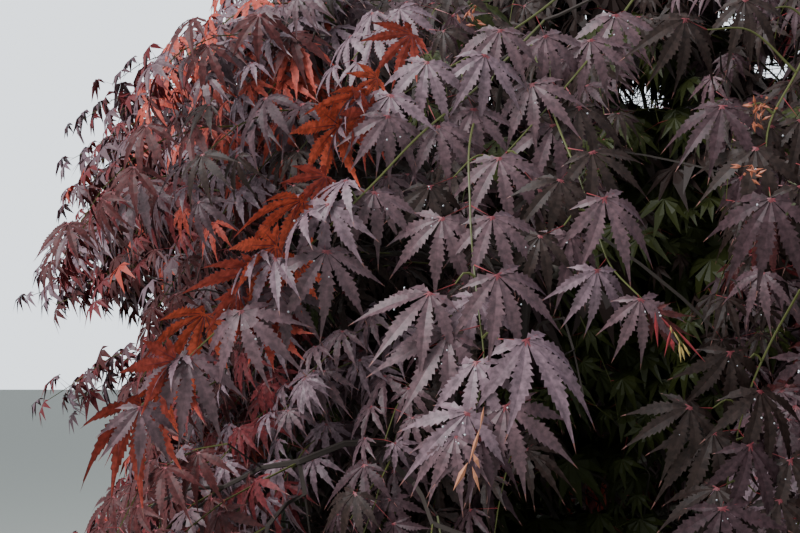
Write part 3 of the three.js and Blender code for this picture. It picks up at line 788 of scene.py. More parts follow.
def spray_places(own, random):
    """Places of the sprays in a mass's outer shell, closer together where the main view shows them."""
    height = random.uniform(-1, 1, SPRAY_TRIES)
    turn = random.uniform(0, 2 * math.pi, SPRAY_TRIES)
    depth = random.uniform(*SPRAY_DEPTHS, SPRAY_TRIES)
    level = np.sqrt(1 - height**2)
    shares = np.stack([level * np.cos(turn), level * np.sin(turn), height], axis=1) * depth[:, None]
    points = own["centre"] + (shares * own["half"]) @ own["axes"]
    _, x, _ = picture_place(points)
    filled = (in_circles(points, HOLLOWS) | (x < SIDE_EDGE)) & shown(points, 0)
    spacing = np.where(seen(points) | filled, NEAR_SPACING, FAR_SPACING)
    reached = points + SHOOT_NODES * INTERNODE * unit(points - own["centre"]) * SHOOT_REACH
    keep = in_space(own, points) & ((shares[:, 0] >= own["inner"]) | filled) & in_box(reached)
    keep &= ~left_open(points, CLEAR_DISTANCE) & ~left_open(reached, CLEAR_DISTANCE)
    chosen = np.full((SPRAY_TRIES, 3), np.inf)
    count = 0
    for i in np.flatnonzero(keep):
        if count == 0 or np.min(np.linalg.norm(chosen[:count] - points[i], axis=1)) > spacing[i]:
            chosen[count] = points[i]
            count += 1
    return chosen[:count]


def twig_way(start, end):
    """Points of a twig that arches from a node to a spray's place."""
    length = np.linalg.norm(end - start)
    middle = (start + end) / 2 + TWIG_ARCH * length * UP
    count = max(1, round(length / TWIG_STEP))
    t = (np.arange(1, count + 1) / count)[:, None]
    return (1 - t) ** 2 * start + 2 * (1 - t) * t * middle + t**2 * end


def grow_twigs(own, places):
    """Nodes, parents and spray nodes: each spray, nearest first, joins the node that makes its way short."""
    curve = own["bough"]["curve"]
    tip = curve[3]
    root = tip + STEM_LENGTH * bezier_tangent(curve, 1)
    points = [tip, root]
    parents = [-1, 0]
    ways = [0.0, STEM_LENGTH]
    ends = np.zeros(len(places), int)
    for index in np.argsort(np.linalg.norm(places - root, axis=1)):
        spray = places[index]
        nodes = np.array(points[1:])
        cost = np.linalg.norm(nodes - spray, axis=1) + PATH_WEIGHT * np.array(ways[1:])
        for share in (0.25, 0.5, 0.75):
            cost += HOLLOW_DETOUR * before_hollow(nodes + share * (spray - nodes))
        parent = int(np.argmin(cost)) + 1
        for point in twig_way(points[parent], spray):
            ways.append(ways[parent] + float(np.linalg.norm(point - points[parent])))
            parents.append(parent)
            points.append(point)
            parent = len(points) - 1
        ends[index] = parent
    return np.array(points), parents, ends


def twig_runs(own, points, parents, ends):
    """Unbranched runs of twig, as points and radii, thicker below more sprays."""
    sprays = np.zeros(len(points))
    sprays[ends] = 1
    children = [[] for _ in points]
    for i in range(len(points) - 1, 0, -1):
        sprays[parents[i]] += sprays[i]
        children[parents[i]].append(i)
    radii = np.minimum(TWIG_RADIUS * np.maximum(sprays, 1) ** TWIG_GROWTH, own["bough"]["radii"][1])
    runs = []
    waiting = [(0, children[0][0])]
    while waiting:
        start, at = waiting.pop()
        run = [start]
        while at is not None:
            run.append(at)
            onward = sorted(children[at], key=lambda child: -sprays[child])
            waiting += [(at, child) for child in onward[1:]]
            at = onward[0] if onward else None
        widths = radii[run]
        if start:
            widths[0] = widths[1]
        runs.append((points[run], widths))
    return runs


# Shoots and leaves


def shoot_headings(own, starts, before, random):
    """Where shoots head: on along their twig and outward, but all ways near the crown's middle."""
    outward = unit(starts * LEVEL)
    middle = np.exp(-((np.hypot(starts[:, 0], starts[:, 1]) / MIDDLE_RADIUS) ** 2))[:, None]
    anywhere = unit(random.normal(0, 1, starts.shape) * LEVEL)
    away = unit(starts - own["centre"])
    heading = unit(0.5 * unit(starts - before) + 0.75 * outward + 0.5 * away * [1, 1, 0.4] + 0.05 * UP)
    return unit((1 - middle) * heading + middle * anywhere)


def grow_shoots(starts, headings, scale, random):
    """Drooping shoots, as points (shoot, node, axis): each node a step on from the last."""
    heading = headings.copy()
    points = [starts]
    for node in range(SHOOT_NODES):
        wander = random.normal(0, SHOOT_WANDER, heading.shape)
        heading = unit(heading + wander - SHOOT_DROOP * (0.35 + 0.35 * node) * UP)
        points.append(points[-1] + INTERNODE * scale[:, None] * heading)
    return np.stack(points, axis=1)


def shoot_leaves(points, scale, random):
    """A pair of leaves at each node: their nodes, hubs, directions, faces and sizes."""
    count, steps = points.shape[0], points.shape[1] - 1
    stretch = unit(np.diff(points, axis=1))
    nodes = points[:, 1:]
    side = unit(np.cross(stretch, UP))
    over = np.cross(side, stretch)
    turned = random.normal(0, 0.5, (count, steps, 1))
    cross = np.cos(turned) * side + np.sin(turned) * over
    outward = unit(nodes * LEVEL)
    flat = np.clip((nodes[..., 2:] - FLAT_HEIGHTS[0]) / (FLAT_HEIGHTS[1] - FLAT_HEIGHTS[0]), 0, 1)
    young = 1 - YOUNG_LEAF * np.linspace(0, 1, steps) ** 2
    leaves = []
    for sign in (-1, 1):
        petiole = unit(0.9 * sign * cross + 0.65 * stretch + 0.25 * UP + random.normal(0, 0.18, nodes.shape))
        length = PETIOLE * scale[:, None, None] * random.uniform(*PETIOLE_SHARES, (count, steps, 1))
        hub = nodes + petiole * length
        direction = petiole * [1, 1, 0.3] + 0.35 * outward - LEAF_DROOP * (1 - 0.65 * flat) * UP
        direction = unit(direction + random.normal(0, 0.25, nodes.shape))
        face = (1 - 0.5 * flat) * outward + (0.75 + flat) * UP
        face = face + 0.45 * petiole + random.normal(0, 0.22, nodes.shape)
        face = unit(face - np.sum(face * direction, axis=-1, keepdims=True) * direction)
        size = LEAF_REACH * scale[:, None] * young * random.uniform(*LEAF_SHARES, (count, steps))
        leaves.append((nodes, hub, direction, face, size))
    return [np.stack(column, axis=2) for column in zip(*leaves)]


def spray_tints(own, starts, random):
    """One tint for each spray, by how deep it lies and on which side: darker ones are painted shade, redder
    ones on the sunny side partly painted glow.
    """
    depth = depth_in(own, starts)
    azimuth = np.degrees(np.arctan2(starts[:, 1], starts[:, 0])) % 360
    sunlit = np.exp(-(((azimuth - SUNNY_AZIMUTH) / SUNNY_SPREAD) ** 2))
    roll = random.uniform(0, 1, len(starts))
    tint = np.where(roll < LILAC_BELOW, "lilac", "plum")
    # Painted shade: deeper sprays take the dark maroon, here and below
    tint = np.where((roll > MAROON_ABOVE) & (depth < OUTER_DEPTH), "maroon", tint)
    # Painted glow: more sprays are red on the sunny side's outer shell, where light shines through the leaves
    red = random.uniform(0, 1, len(starts)) < RED_SHARES[0] + RED_SHARES[1] * sunlit
    tint = np.where(red & (depth > RED_DEPTH), "garnet", tint)
    tint = np.where(red & (depth > EMBER_DEPTH) & (roll < EMBER_BELOW), "ember", tint)
    tint = np.where(depth < INNER_DEPTH, "maroon", tint)
    ahead, x, _ = picture_place(starts)
    # Painted shade: sprays behind the near ones and right of the side edge, or far right, take the two darkest
    # tints
    shaded = shown(starts, VIEW_MARGIN) & (x > SIDE_EDGE) & ((ahead > BEHIND_DISTANCE) | (x > SHADE_EDGE))
    shaded &= ahead < SHADE_END
    tint = np.where(shaded, np.where(roll < SHADE_BELOW, "shade", "deep_shade"), tint)
    # Painted shade in the hollow: its sprays are dark green or the darkest tint
    hollow = shown(starts, 0) & in_circles(starts, HOLLOWS) & (ahead < HOLLOW_END)
    tint = np.where(hollow, np.where(roll < GREEN_BELOW, "green", "deep_shade"), tint)
    return tint_numbers(tint)


def leaf_tints(spray_tint, shape, random):
    """Tints for the leaves of each spray: mostly the spray's own, and some of its last ones garnet red."""
    main = np.array(TINT_NAMES)[spray_tint][:, None, None]
    tint = np.broadcast_to(main, shape)
    roll = random.uniform(0, 1, shape)
    for own, other, low, high in TINT_MIXES:
        tint = np.where((main == own) & (roll >= low) & (roll < high), other, tint)
    last = np.zeros(shape, bool)
    last[:, -1] = True
    fresh = last & (roll > FRESH_ABOVE) & np.isin(tint, ("plum", "lilac"))
    return tint_numbers(np.where(fresh, "garnet", tint))


def hollow_tints(hubs, tints):
    """Leaves in the depth of the hollow turn green, their own colour darkened as painted shade, or the darkest
    shade tint where they had the lighter one.
    """
    ahead, _, _ = picture_place(hubs)
    deep = shown(hubs, 0) & in_circles(hubs, HOLLOWS) & (ahead < HOLLOW_END)
    hollow_shade = np.where(tints == TINT_NAMES.index("shade"), TINT_NAMES.index("deep_shade"), TINT_NAMES.index("green"))
    return np.where(deep, hollow_shade, tints)


def tint_numbers(tints):
    """Each tint's place in the list of tints."""
    numbers = np.zeros(tints.shape, int)
    for number, name in enumerate(TINT_NAMES):
        numbers[tints == name] = number
    return numbers


# Leaf forms


def lobe_list(random):
    """(turn, reach) of the seven lobes from left to right, slightly uneven."""
    lobes = []
    for turn, reach in LOBES:
        for sign in ((1,) if turn == 0 else (-1, 1)):
            lobes.append((sign * turn + random.normal(0, LOBE_STRAY), reach * random.uniform(*LOBE_REACHES)))
    return sorted(lobes)


class LeafForm:
    """A leaf along +Y from its hub, with its upper side to +Z and its longest lobe about 1 long."""

    def __init__(self):
        self.points = [(0.0, 0.0, 0.0)]
        self.blade = []
        self.veins = []
        self.tips = []

    def start_lobe(self, turn, reach, random):
        """Sets out a lobe: it sags, folds along its middle and curls to one side."""
        self.axis = np.array([math.sin(math.radians(turn)), math.cos(math.radians(turn))])
        self.cross = np.array([self.axis[1], -self.axis[0]])
        self.reach = reach
        self.sag = random.uniform(*LOBE_SAG) * reach
        self.fold = random.uniform(*LOBE_FOLD)
        self.curl = random.normal(0, LOBE_CURL) * reach
        self.wide = LOBE_WIDTH * (0.35 + 0.65 * reach)

    def width(self, share):
        """Half the lobe's width at a share of its reach."""
        return self.wide * float(np.interp(share, WIDTH_PLACES, WIDTH_SHARES))

    def spot(self, share, off, lift=0.0):
        """Adds a point of the lobe, beside its middle line."""
        at = self.axis * share * self.reach + self.cross * (off + self.curl * share**2)
        self.points.append((at[0], at[1], self.fold * abs(off) - self.sag * share**2 + lift))
        return len(self.points) - 1

    def add(self, part, faces, sign):
        """Adds faces, turned over on the lobe's other side."""
        part += faces if sign < 0 else [face[::-1] for face in faces]

    def arrays(self):
        """The points, and the faces of each kind."""
        return np.array(self.points), {
            "blade": np.array(self.blade), "veins": np.array(self.veins), "tips": np.array(self.tips)
        }


def toothed_leaf(random, teeth):
    """A leaf whose lobes have teeth that point along them, red veins at the hub and thin tan tips."""
    form = LeafForm()
    for turn, reach in lobe_list(random):
        form.start_lobe(turn, reach, random)
        stations = np.linspace(*TEETH, max(2, round(teeth * reach)))
        step = stations[1] - stations[0]
        spine = [0] + [form.spot(share, 0) for share in stations]
        tail, end, tip = (form.spot(share, 0) for share in (TAIL, TIP, 1))
        for sign in (-1, 1):
            before = form.spot(WIDTH_PLACES[0], sign * form.width(WIDTH_PLACES[0]))
            for k, share in enumerate(stations):
                wide = form.width(share)
                out = TOOTH * random.uniform(*TOOTH_SHARES) * (0.4 + 0.6 * wide / form.wide)
                tooth = form.spot(share, sign * (wide + out))
                notch = form.spot(share + NOTCH[0] * step, sign * wide * NOTCH[1])
                form.add(form.blade, [(spine[k], tooth, before), (spine[k], spine[k + 1], tooth)], sign)
                form.add(form.blade, [(spine[k + 1], notch, tooth)], sign)
                before = notch
            edge = form.spot(TAIL, sign * form.width(TAIL))
            last = form.spot(TIP, sign * form.width(TIP))
            form.add(form.blade, [(spine[-1], edge, before), (spine[-1], tail, edge)], sign)
            form.add(form.blade, [(tail, end, last), (tail, last, edge)], sign)
            form.add(form.tips, [(end, tip, last)], sign)
        base = (form.spot(0.0, -VEIN_WIDTH, VEIN_LIFTS[0]), form.spot(0.0, VEIN_WIDTH, VEIN_LIFTS[0]))
        form.veins.append((*base, form.spot(VEIN_LENGTH, 0, VEIN_LIFTS[1])))
    return form.arrays()


def plain_leaf(random, bent):
    """A leaf of two or four faces a lobe, folded along the lobe's middle."""
    form = LeafForm()
    for turn, reach in lobe_list(random):
        form.start_lobe(turn, reach, random)
        middle = form.spot(0.5, 0) if bent and reach > 0.6 else None
        tip = form.spot(1, 0)
        for sign in (-1, 1):
            edge = form.spot(PLAIN_EDGE, sign * PLAIN_WIDTH * form.wide)
            if middle:
                form.add(form.blade, [(0, middle, edge), (middle, tip, edge)], sign)
            else:
                form.add(form.blade, [(0, tip, edge)], sign)
    return form.arrays()


# Meshes


def new_mesh(name, vertices, faces, material):
    """A mesh of flat triangles."""
    mesh = bpy.data.meshes.new(name)
    mesh.vertices.add(len(vertices))
    mesh.vertices.foreach_set("co", np.asarray(vertices, np.float32).ravel())
    mesh.loops.add(3 * len(faces))
    mesh.loops.foreach_set("vertex_index", np.asarray(faces, np.int32).ravel())
    mesh.polygons.add(len(faces))
    mesh.polygons.foreach_set("loop_start", np.arange(0, 3 * len(faces), 3, dtype=np.int32))
    mesh.polygons.foreach_set("use_smooth", np.full(len(faces), False))
    mesh.update(calc_edges=True)
    mesh.materials.append(material)
    return mesh


def new_piece(name, mesh):
    """A mesh as one piece of the tree."""
    piece = bpy.data.objects.new(name, mesh)
    bpy.context.scene.collection.objects.link(piece)
    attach(piece, "root")
    return piece


class Heap:
    """Vertices and faces gathered for one joined mesh."""

    def __init__(self):
        self.vertices = []
        self.faces = []
        self.count = 0

    def add(self, vertices, faces):
        """Adds a body, whose faces count its own vertices from 0."""
        self.vertices.append(np.asarray(vertices, float).reshape(-1, 3))
        self.faces.append(np.asarray(faces, int).reshape(-1, 3) + self.count)
        self.count += len(self.vertices[-1])

    def arrays(self):
        """All vertices and all faces."""
        return np.concatenate(self.vertices), np.concatenate(self.faces)


def add_split(name, heap, material):
    """One or more pieces of a heap, none with too many faces."""
    vertices, faces = heap.arrays()
    parts = math.ceil(len(faces) / MOST_FACES)
    for part, chunk in enumerate(np.array_split(faces, parts)):
        used, compact = np.unique(chunk, return_inverse=True)
        label = name if parts == 1 else f"{name}_{part + 1}"
        new_piece(label, new_mesh(label, vertices[used], compact.reshape(-1, 3), material))


def repeated(faces, size, count):
    """The faces of many equal bodies, each with its own vertices."""
    return (faces[None] + (size * np.arange(count))[:, None, None]).reshape(-1, 3)


def tubes(points, radii, sides):
    """Many tubes at once: points (tube, step, axis) and radii (tube, step) to vertices and faces."""
    count, steps = radii.shape
    across, third = beside(unit(np.gradient(points, axis=1)))
    turn = 2 * math.pi * np.arange(sides) / sides
    ring = np.cos(turn)[:, None] * across[:, :, None] + np.sin(turn)[:, None] * third[:, :, None]
    vertices = points[:, :, None] + radii[:, :, None, None] * ring
    here = np.arange(sides)
    after = (here + 1) % sides
    strip = np.stack([
        np.stack([here, after, after + sides], axis=1),
        np.stack([here, after + sides, here + sides], axis=1),
    ]).reshape(-1, 3)
    cap = np.array([[0, k + 1, k] for k in range(1, sides - 1)])
    end = sides * (steps - 1) + cap[:, [0, 2, 1]]
    one = np.concatenate([repeated(strip, sides, steps - 1), cap, end])
    return vertices.reshape(-1, 3), repeated(one, steps * sides, count)


def spikes(starts, ends, radius, sides):
    """Three-sided spikes from a twig to a leaf's hub or a seed, or only some of their sides."""
    across, third = beside(unit(ends - starts))
    corners = [
        starts + radius[:, None] * (math.cos(turn) * across + math.sin(turn) * third)
        for turn in (0, 2 * math.pi / 3, 4 * math.pi / 3)
    ]
    vertices = np.stack([*corners, ends], axis=1)
    one = np.array([[0, 1, 3], [1, 2, 3], [2, 0, 3]])[:sides]
    return vertices.reshape(-1, 3), repeated(one, 4, len(starts))


def spindles(starts, ends, radii):
    """Slender four-sided bodies, thickest a little before their middle and pointed at both ends."""
    across, third = beside(unit(ends - starts))
    middle = starts + SPINDLE_MIDDLE * (ends - starts)
    wide = radii[:, None]
    ring = [middle + wide * across, middle + wide * third, middle - wide * across, middle - wide * third]
    vertices = np.stack([starts, *ring, ends], axis=1)
    one = []
    for here, after in ((1, 2), (2, 3), (3, 4), (4, 1)):
        one += [(0, after, here), (5, here, after)]
    return vertices.reshape(-1, 3), repeated(np.array(one), 6, len(starts))


def instances(vertices, faces, hubs, directions, faces_up, sizes):
    """Copies of a part of a leaf, one for each hub."""
    side = np.cross(directions, faces_up)
    basis = np.stack([side, directions, faces_up], axis=1) * sizes[:, None, None]
    placed = vertices[None] @ basis + hubs[:, None]
    return placed.reshape(-1, 3), repeated(faces, len(vertices), len(hubs))


# Materials


def principled(name, colour, roughness):
    """A material with one shader of plain values."""
    material = bpy.data.materials.new(name)
    material.use_nodes = True
    shader = shader_of(material)
    shader.inputs["Base Color"].default_value = (*colour, 1)
    shader.inputs["Roughness"].default_value = roughness
    return material


def shader_of(material):
    """A material's shader."""
    return material.node_tree.nodes["Principled BSDF"]


def paint(name):
    """One of the plain materials."""
    return principled(name, *PAINTS[name])


def leaf_material(tint, fine):
    """A leaf's waxy blade; the fine leaves' blades are mottled and lightly wrinkled too."""
    material = principled(f"leaf_{tint}_fine" if fine else f"leaf_{tint}", TINTS[tint], LEAF_ROUGHNESS)
    shader = shader_of(material)
    shader.inputs["Specular IOR Level"].default_value = LEAF_SHINE
    if tint in BLOOMED:
        for name, value in BLOOM.items():
            shader.inputs[name].default_value = value
    if fine:
        colours = [share * np.array(TINTS[tint]) for share in MOTTLE_SHARES]
        mottled = noise_colour(material, MOTTLE_SCALE, colours, MOTTLE_PLACES)
        roughen(material, mottled, *WRINKLES)
    return material


def noise_colour(material, scale, colours, places, stretch=(1, 1, 1)):
    """Colours a material by a noise between two colours; returns the noise."""
    nodes = material.node_tree.nodes
    links = material.node_tree.links
    coordinates = nodes.new("ShaderNodeTexCoord")
    mapping = nodes.new("ShaderNodeMapping")
    mapping.inputs["Scale"].default_value = stretch
    links.new(coordinates.outputs["Object"], mapping.inputs["Vector"])
    texture = nodes.new("ShaderNodeTexNoise")
    texture.inputs["Scale"].default_value = scale
    texture.inputs["Detail"].default_value = NOISE_DETAIL
    links.new(mapping.outputs["Vector"], texture.inputs["Vector"])
    ramp = nodes.new("ShaderNodeValToRGB")
    for element, colour, position in zip(ramp.color_ramp.elements, colours, places):
        element.color = (*colour, 1)
        element.position = position
    links.new(texture.outputs["Fac"], ramp.inputs["Fac"])
    links.new(ramp.outputs["Color"], shader_of(material).inputs["Base Color"])
    return texture


def roughen(material, texture, strength, distance):
    """Bumps a material by a noise."""
    bump = material.node_tree.nodes.new("ShaderNodeBump")
    bump.inputs["Strength"].default_value = strength
    bump.inputs["Distance"].default_value = distance
    material.node_tree.links.new(texture.outputs["Fac"], bump.inputs["Height"])
    material.node_tree.links.new(bump.outputs["Normal"], shader_of(material).inputs["Normal"])


def bark_material():
    """Smooth grey-brown bark, streaked along the limbs, with paler lichen."""
    material = principled("bark", BARK_COLOUR, BARK_ROUGHNESS)
    shader = shader_of(material)
    links = material.node_tree.links
    streaks = noise_colour(material, BARK_SCALE, BARK_STREAKS, BARK_PLACES, BARK_STRETCH)
    roughen(material, streaks, *BARK_BUMPS)
    streaked = shader.inputs["Base Color"].links[0].from_socket
    noise_colour(material, LICHEN_SCALE, ((0, 0, 0), (1, 1, 1)), LICHEN_PLACES)
    lichen = shader.inputs["Base Color"].links[0].from_socket
    mixed = material.node_tree.nodes.new("ShaderNodeMix")
    mixed.data_type = "RGBA"
    mixed.inputs["B"].default_value = (*LICHEN_COLOUR, 1)
    links.new(lichen, mixed.inputs["Factor"])
    links.new(streaked, mixed.inputs["A"])
    links.new(mixed.outputs["Result"], shader.inputs["Base Color"])
    return material


# Trunk and boughs


def trunk_radius(height, turn):
    """The trunk's radius: even on top, spreading into root ribs at the foot."""
    flare = ROOT_FLARE * np.exp(-height / ROOT_FLARE_HEIGHT)
    return TRUNK_RADIUS + flare * (1 + ROOT_RIB_DEPTH * np.cos(ROOT_RIBS * turn))


def trunk_skin():
    """The trunk as a closed skin of level rings."""
    shares = np.linspace(0, 1, TRUNK_RINGS)
    middles = bezier(TRUNK_CURVE, shares)
    turn = 2 * math.pi * np.arange(TRUNK_SIDES) / TRUNK_SIDES
    over = np.maximum(0, (shares - TRUNK_SHOULDER) / (1 - TRUNK_SHOULDER))
    rounding = np.sqrt(1 - TRUNK_CLOSING * over**2)
    radius = trunk_radius(middles[:, 2:], turn[None]) * rounding[:, None]
    ring = np.stack([np.cos(turn), np.sin(turn), np.zeros(TRUNK_SIDES)], axis=1)
    vertices = middles[:, None] + radius[:, :, None] * ring[None]
    _, faces = tubes(middles[None], np.ones((1, TRUNK_RINGS)), TRUNK_SIDES)
    return vertices.reshape(-1, 3), faces


def wood_skins(limbs):
    """The closed skins of trunk and limbs, with the points and radii along them."""
    heap = Heap()
    heap.add(*trunk_skin())
    spine = [along(TRUNK_CURVE, SPINE_POINTS)]
    girth = [np.full(SPINE_POINTS, TRUNK_RADIUS)]
    for made in limbs.values():
        length = way_along(along(made["curve"], LENGTH_POINTS))[-1]
        steps = max(FEWEST_RINGS, round(length / LIMB_STEP))
        points = along(made["curve"], steps)
        radii = np.linspace(*made["radii"], steps)
        heap.add(*tubes(points[None], radii[None], LIMB_SIDES))
        spine.append(points)
        girth.append(radii)
    return heap, np.concatenate(spine), np.concatenate(girth)


def add_wood(limbs):
    """The trunk and boughs as one skin, remeshed so that they flow together, with the bark's relief."""
    heap, spine, girth = wood_skins(limbs)
    rough = new_piece("rough_wood", new_mesh("rough_wood", *heap.arrays(), bark_material()))
    remesh = rough.modifiers.new("join", "REMESH")
    remesh.mode = "VOXEL"
    remesh.voxel_size = SKIN_VOXEL
    smooth = rough.modifiers.new("flow", "SMOOTH")
    smooth.factor = SKIN_EASING
    smooth.iterations = SKIN_SMOOTHING
    depsgraph = bpy.context.evaluated_depsgraph_get()
    mesh = bpy.data.meshes.new_from_object(rough.evaluated_get(depsgraph))
    bpy.data.objects.remove(rough)
    relieve_bark(mesh, spine, girth)
    mesh.polygons.foreach_set("use_smooth", np.full(len(mesh.polygons), True))
    piece = new_piece("trunk_and_boughs", mesh)
    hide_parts("trunk", *limbs)


def relieve_bark(mesh, spine, girth):
    """Raises streaks that run along the limbs, stronger on thick wood."""
    count = len(mesh.vertices)
    points = np.empty(3 * count, np.float32)
    normals = np.empty(3 * count, np.float32)
    mesh.vertices.foreach_get("co", points)
    mesh.vertices.foreach_get("normal", normals)
    points = points.reshape(-1, 3)
    tree = KDTree(len(spine))
    for index, point in enumerate(spine):
        tree.insert(point, index)
    tree.balance()
    lift = np.empty(count)
    for index, point in enumerate(points):
        _, nearest, _ = tree.find(point)
        streak = noise.fractal(Vector(point * STREAK_SCALE), *STREAK_NOISE)
        swell = noise.noise(Vector(point) * SWELL_SCALE)
        lift[index] = (STREAK_HEIGHT * streak + SWELL_HEIGHT * swell) * girth[nearest]
    points = points + normals.reshape(-1, 3) * lift[:, None]
    points[:, 2] = np.maximum(points[:, 2], 0)
    mesh.vertices.foreach_set("co", points.astype(np.float32).ravel())
    mesh.update()


# The tree's foliage


def gather_sprays(masses, stems, random):
    """Twig runs, shoots and leaves of all masses; the placed stems grow from the twigs too."""
    homes = [int(np.argmin([depth_in(own, stem[0]) for own in masses])) for stem in stems]
    runs = []
    shoots = []
    leaves = []
    for number, own in enumerate(masses):
        held = [stem[0] for stem, home in zip(stems, homes) if home == number]
        sprays = spray_places(own, random)
        points, parents, ends = grow_twigs(own, np.array([*sprays, *held]))
        runs += twig_runs(own, points, parents, ends)
        ends = ends[:len(sprays)]
        starts = points[ends]
        before = points[np.array(parents)[ends]]
        scale = np.where(seen(starts), 1.0, FAR_SCALE) * random.uniform(*SHOOT_SCALES, len(starts))
        grown = grow_shoots(starts, shoot_headings(own, starts, before, random), scale, random)
        kept = ~left_open(grown[:, -1], CLEAR_DISTANCE) & in_box(grown[:, -1])
        grown, scale = grown[kept], scale[kept]
        columns = shoot_leaves(grown, scale, random)
        tints = leaf_tints(spray_tints(own, starts[kept], random), columns[0].shape[:3], random)
        keep, leafy = kept_leaves(own, columns)
        shoots.append((grown[leafy], scale[leafy]))
        leaves.append([column[keep] for column in (*columns, hollow_tints(columns[1], tints))])
    return runs, shoots, [np.concatenate(column) for column in zip(*leaves)]


def kept_leaves(own, columns):
    """True for the leaves that hide nothing kept open, and for the shoots that have enough of them."""
    _, hubs, directions, faces_up, sizes = columns
    tips = hubs + directions * sizes[..., None]
    keep = (depth_in(own, tips) < TIP_DEPTH) & in_box(tips) & ~left_open(hubs, CLEAR_DISTANCE - CLEAR_SLACK)
    keep &= ~over_gap(hubs, directions, faces_up, sizes)
    leafy = (keep.sum(axis=(1, 2)) >= FEWEST_LEAVES) & keep[:, -2:].any(axis=(1, 2))
    return keep & leafy[:, None, None], leafy


def smooth_way(points, step):
    """Points at even steps on a smooth curve through the given ones."""
    padded = np.array([2 * points[0] - points[1], *points, 2 * points[-1] - points[-2]])
    t = np.linspace(0, 1, 20, endpoint=False)[:, None]
    fine = []
    for a, b, c, d in zip(padded, padded[1:], padded[2:], padded[3:]):
        squared = a - 2.5 * b + 2 * c - d / 2
        cubed = 1.5 * (b - c) + (d - a) / 2
        fine.append(b + (c - a) * t / 2 + squared * t**2 + cubed * t**3)
    fine = np.concatenate([*fine, [points[-1]]])
    return evenly(fine, max(3, round(way_along(fine)[-1] / step) + 1))


def arching_way(start, end, rise, step):
    """Points at even steps on an arch, whose middle rises by a length."""
    return smooth_way(np.array([start, (start + end) / 2 + TWIG_ARCH * rise * UP, end]), step)


def placed_shoots(random):
    """The shoots placed from the picture: smooth stems, side twigs, and leaves on the nearest points."""
    stems = []
    sides = []
    leaves = []
    for made in SHOOTS.values():
        stem = smooth_way(np.array([at_pixel(*point) for point in made["stem"]]), STEM_STEP)
        stems.append(stem)
        ahead, stem_x, stem_y = picture_place(stem)
        for kind, depths in LEAF_DEPTHS.items():
            for x, y, turn, size, tint in made.get(kind, ()):
                near = int(np.argmin(np.hypot(stem_x - x, stem_y - y + PETIOLE_RISE)))
                hub = at_pixel(x, y, ahead[near] + random.uniform(*depths))
                direction, face = leaf_pose(kind, turn, random)
                node = stem[near]
                length = np.linalg.norm(node - hub)
                if length > LONGEST_PETIOLE:
                    join = hub + (node - hub) * PETIOLE / length
                    sides.append(arching_way(node, join, length, SIDE_STEP))
                    node = join
                leaves.append((node, hub, direction, face, LEAF_REACH * size, TINT_NAMES.index(tint)))
    return stems, sides, [np.array(column) for column in zip(*leaves)]


def leaf_pose(kind, turn, random):
    """The direction and face of a leaf that the main view sees from above, from beneath or edgewise."""
    right, up, forward = camera_axes()
    swing = math.radians(turn)
    across = math.sin(swing) * right - math.cos(swing) * up
    if kind == "leaves":
        direction = across - random.uniform(0.25, 0.65) * forward
        face = -0.8 * forward + 0.6 * up + 0.3 * math.sin(swing) * right
    elif kind == "beneath":
        direction = across + random.uniform(-0.5, 0.4) * forward
        face = random.uniform(0.6, 1.4) * forward + 0.6 * up - 0.4 * right
    else:
        direction = across + random.uniform(-0.2, 0.2) * forward
        face = up - 0.15 * forward - 0.4 * right
    direction = unit(direction)
    face = face + random.normal(0, 0.14, 3)
    return direction, unit(face - face @ direction * direction)


def placed_sprigs(random):
    """The sprigs placed from the picture farther back: drooping stems, and leaves by the shoots' rule."""
    stems = []
    leaves = []
    for start, end, tint, other in SPRIGS:
        start, end = at_pixel(*start), at_pixel(*end)
        stem = arching_way(start, end, np.linalg.norm(end - start), INTERNODE)
        columns = shoot_leaves(stem[None], np.ones(1), random)
        first = random.uniform(0, 1, columns[0].shape[:3]) < FIRST_TINT
        tints = np.where(first, TINT_NAMES.index(tint), TINT_NAMES.index(other))
        stems.append(stem)
        leaves.append([column.reshape(-1, *column.shape[3:]) for column in (*columns, tints)])
    return stems, [np.concatenate(column) for column in zip(*leaves)]


def leaf_levels(hubs, random):
    """Which leaves have which fineness, with the forms that they take: finer nearer to the main view."""
    ahead, _, _ = picture_place(hubs)
    in_view = shown(hubs, LEAF_MARGIN)
    fine = in_view & (ahead < FINE_DISTANCE)
    toothed = in_view & (ahead < TOOTHED_DISTANCE) & ~fine
    plain = in_view & (ahead < PLAIN_DISTANCE) & ~fine & ~toothed
    far = ~fine & ~toothed & ~plain
    return {
        "fine": (fine, [toothed_leaf(random, FINE_TEETH) for _ in range(TOOTHED_FORMS)]),
        "toothed": (toothed, [toothed_leaf(random, FEWER_TEETH) for _ in range(TOOTHED_FORMS)]),
        "plain": (plain, [plain_leaf(random, True) for _ in range(PLAIN_FORMS)]),
        "far": (far, [plain_leaf(random, False) for _ in range(PLAIN_FORMS)]),
    }


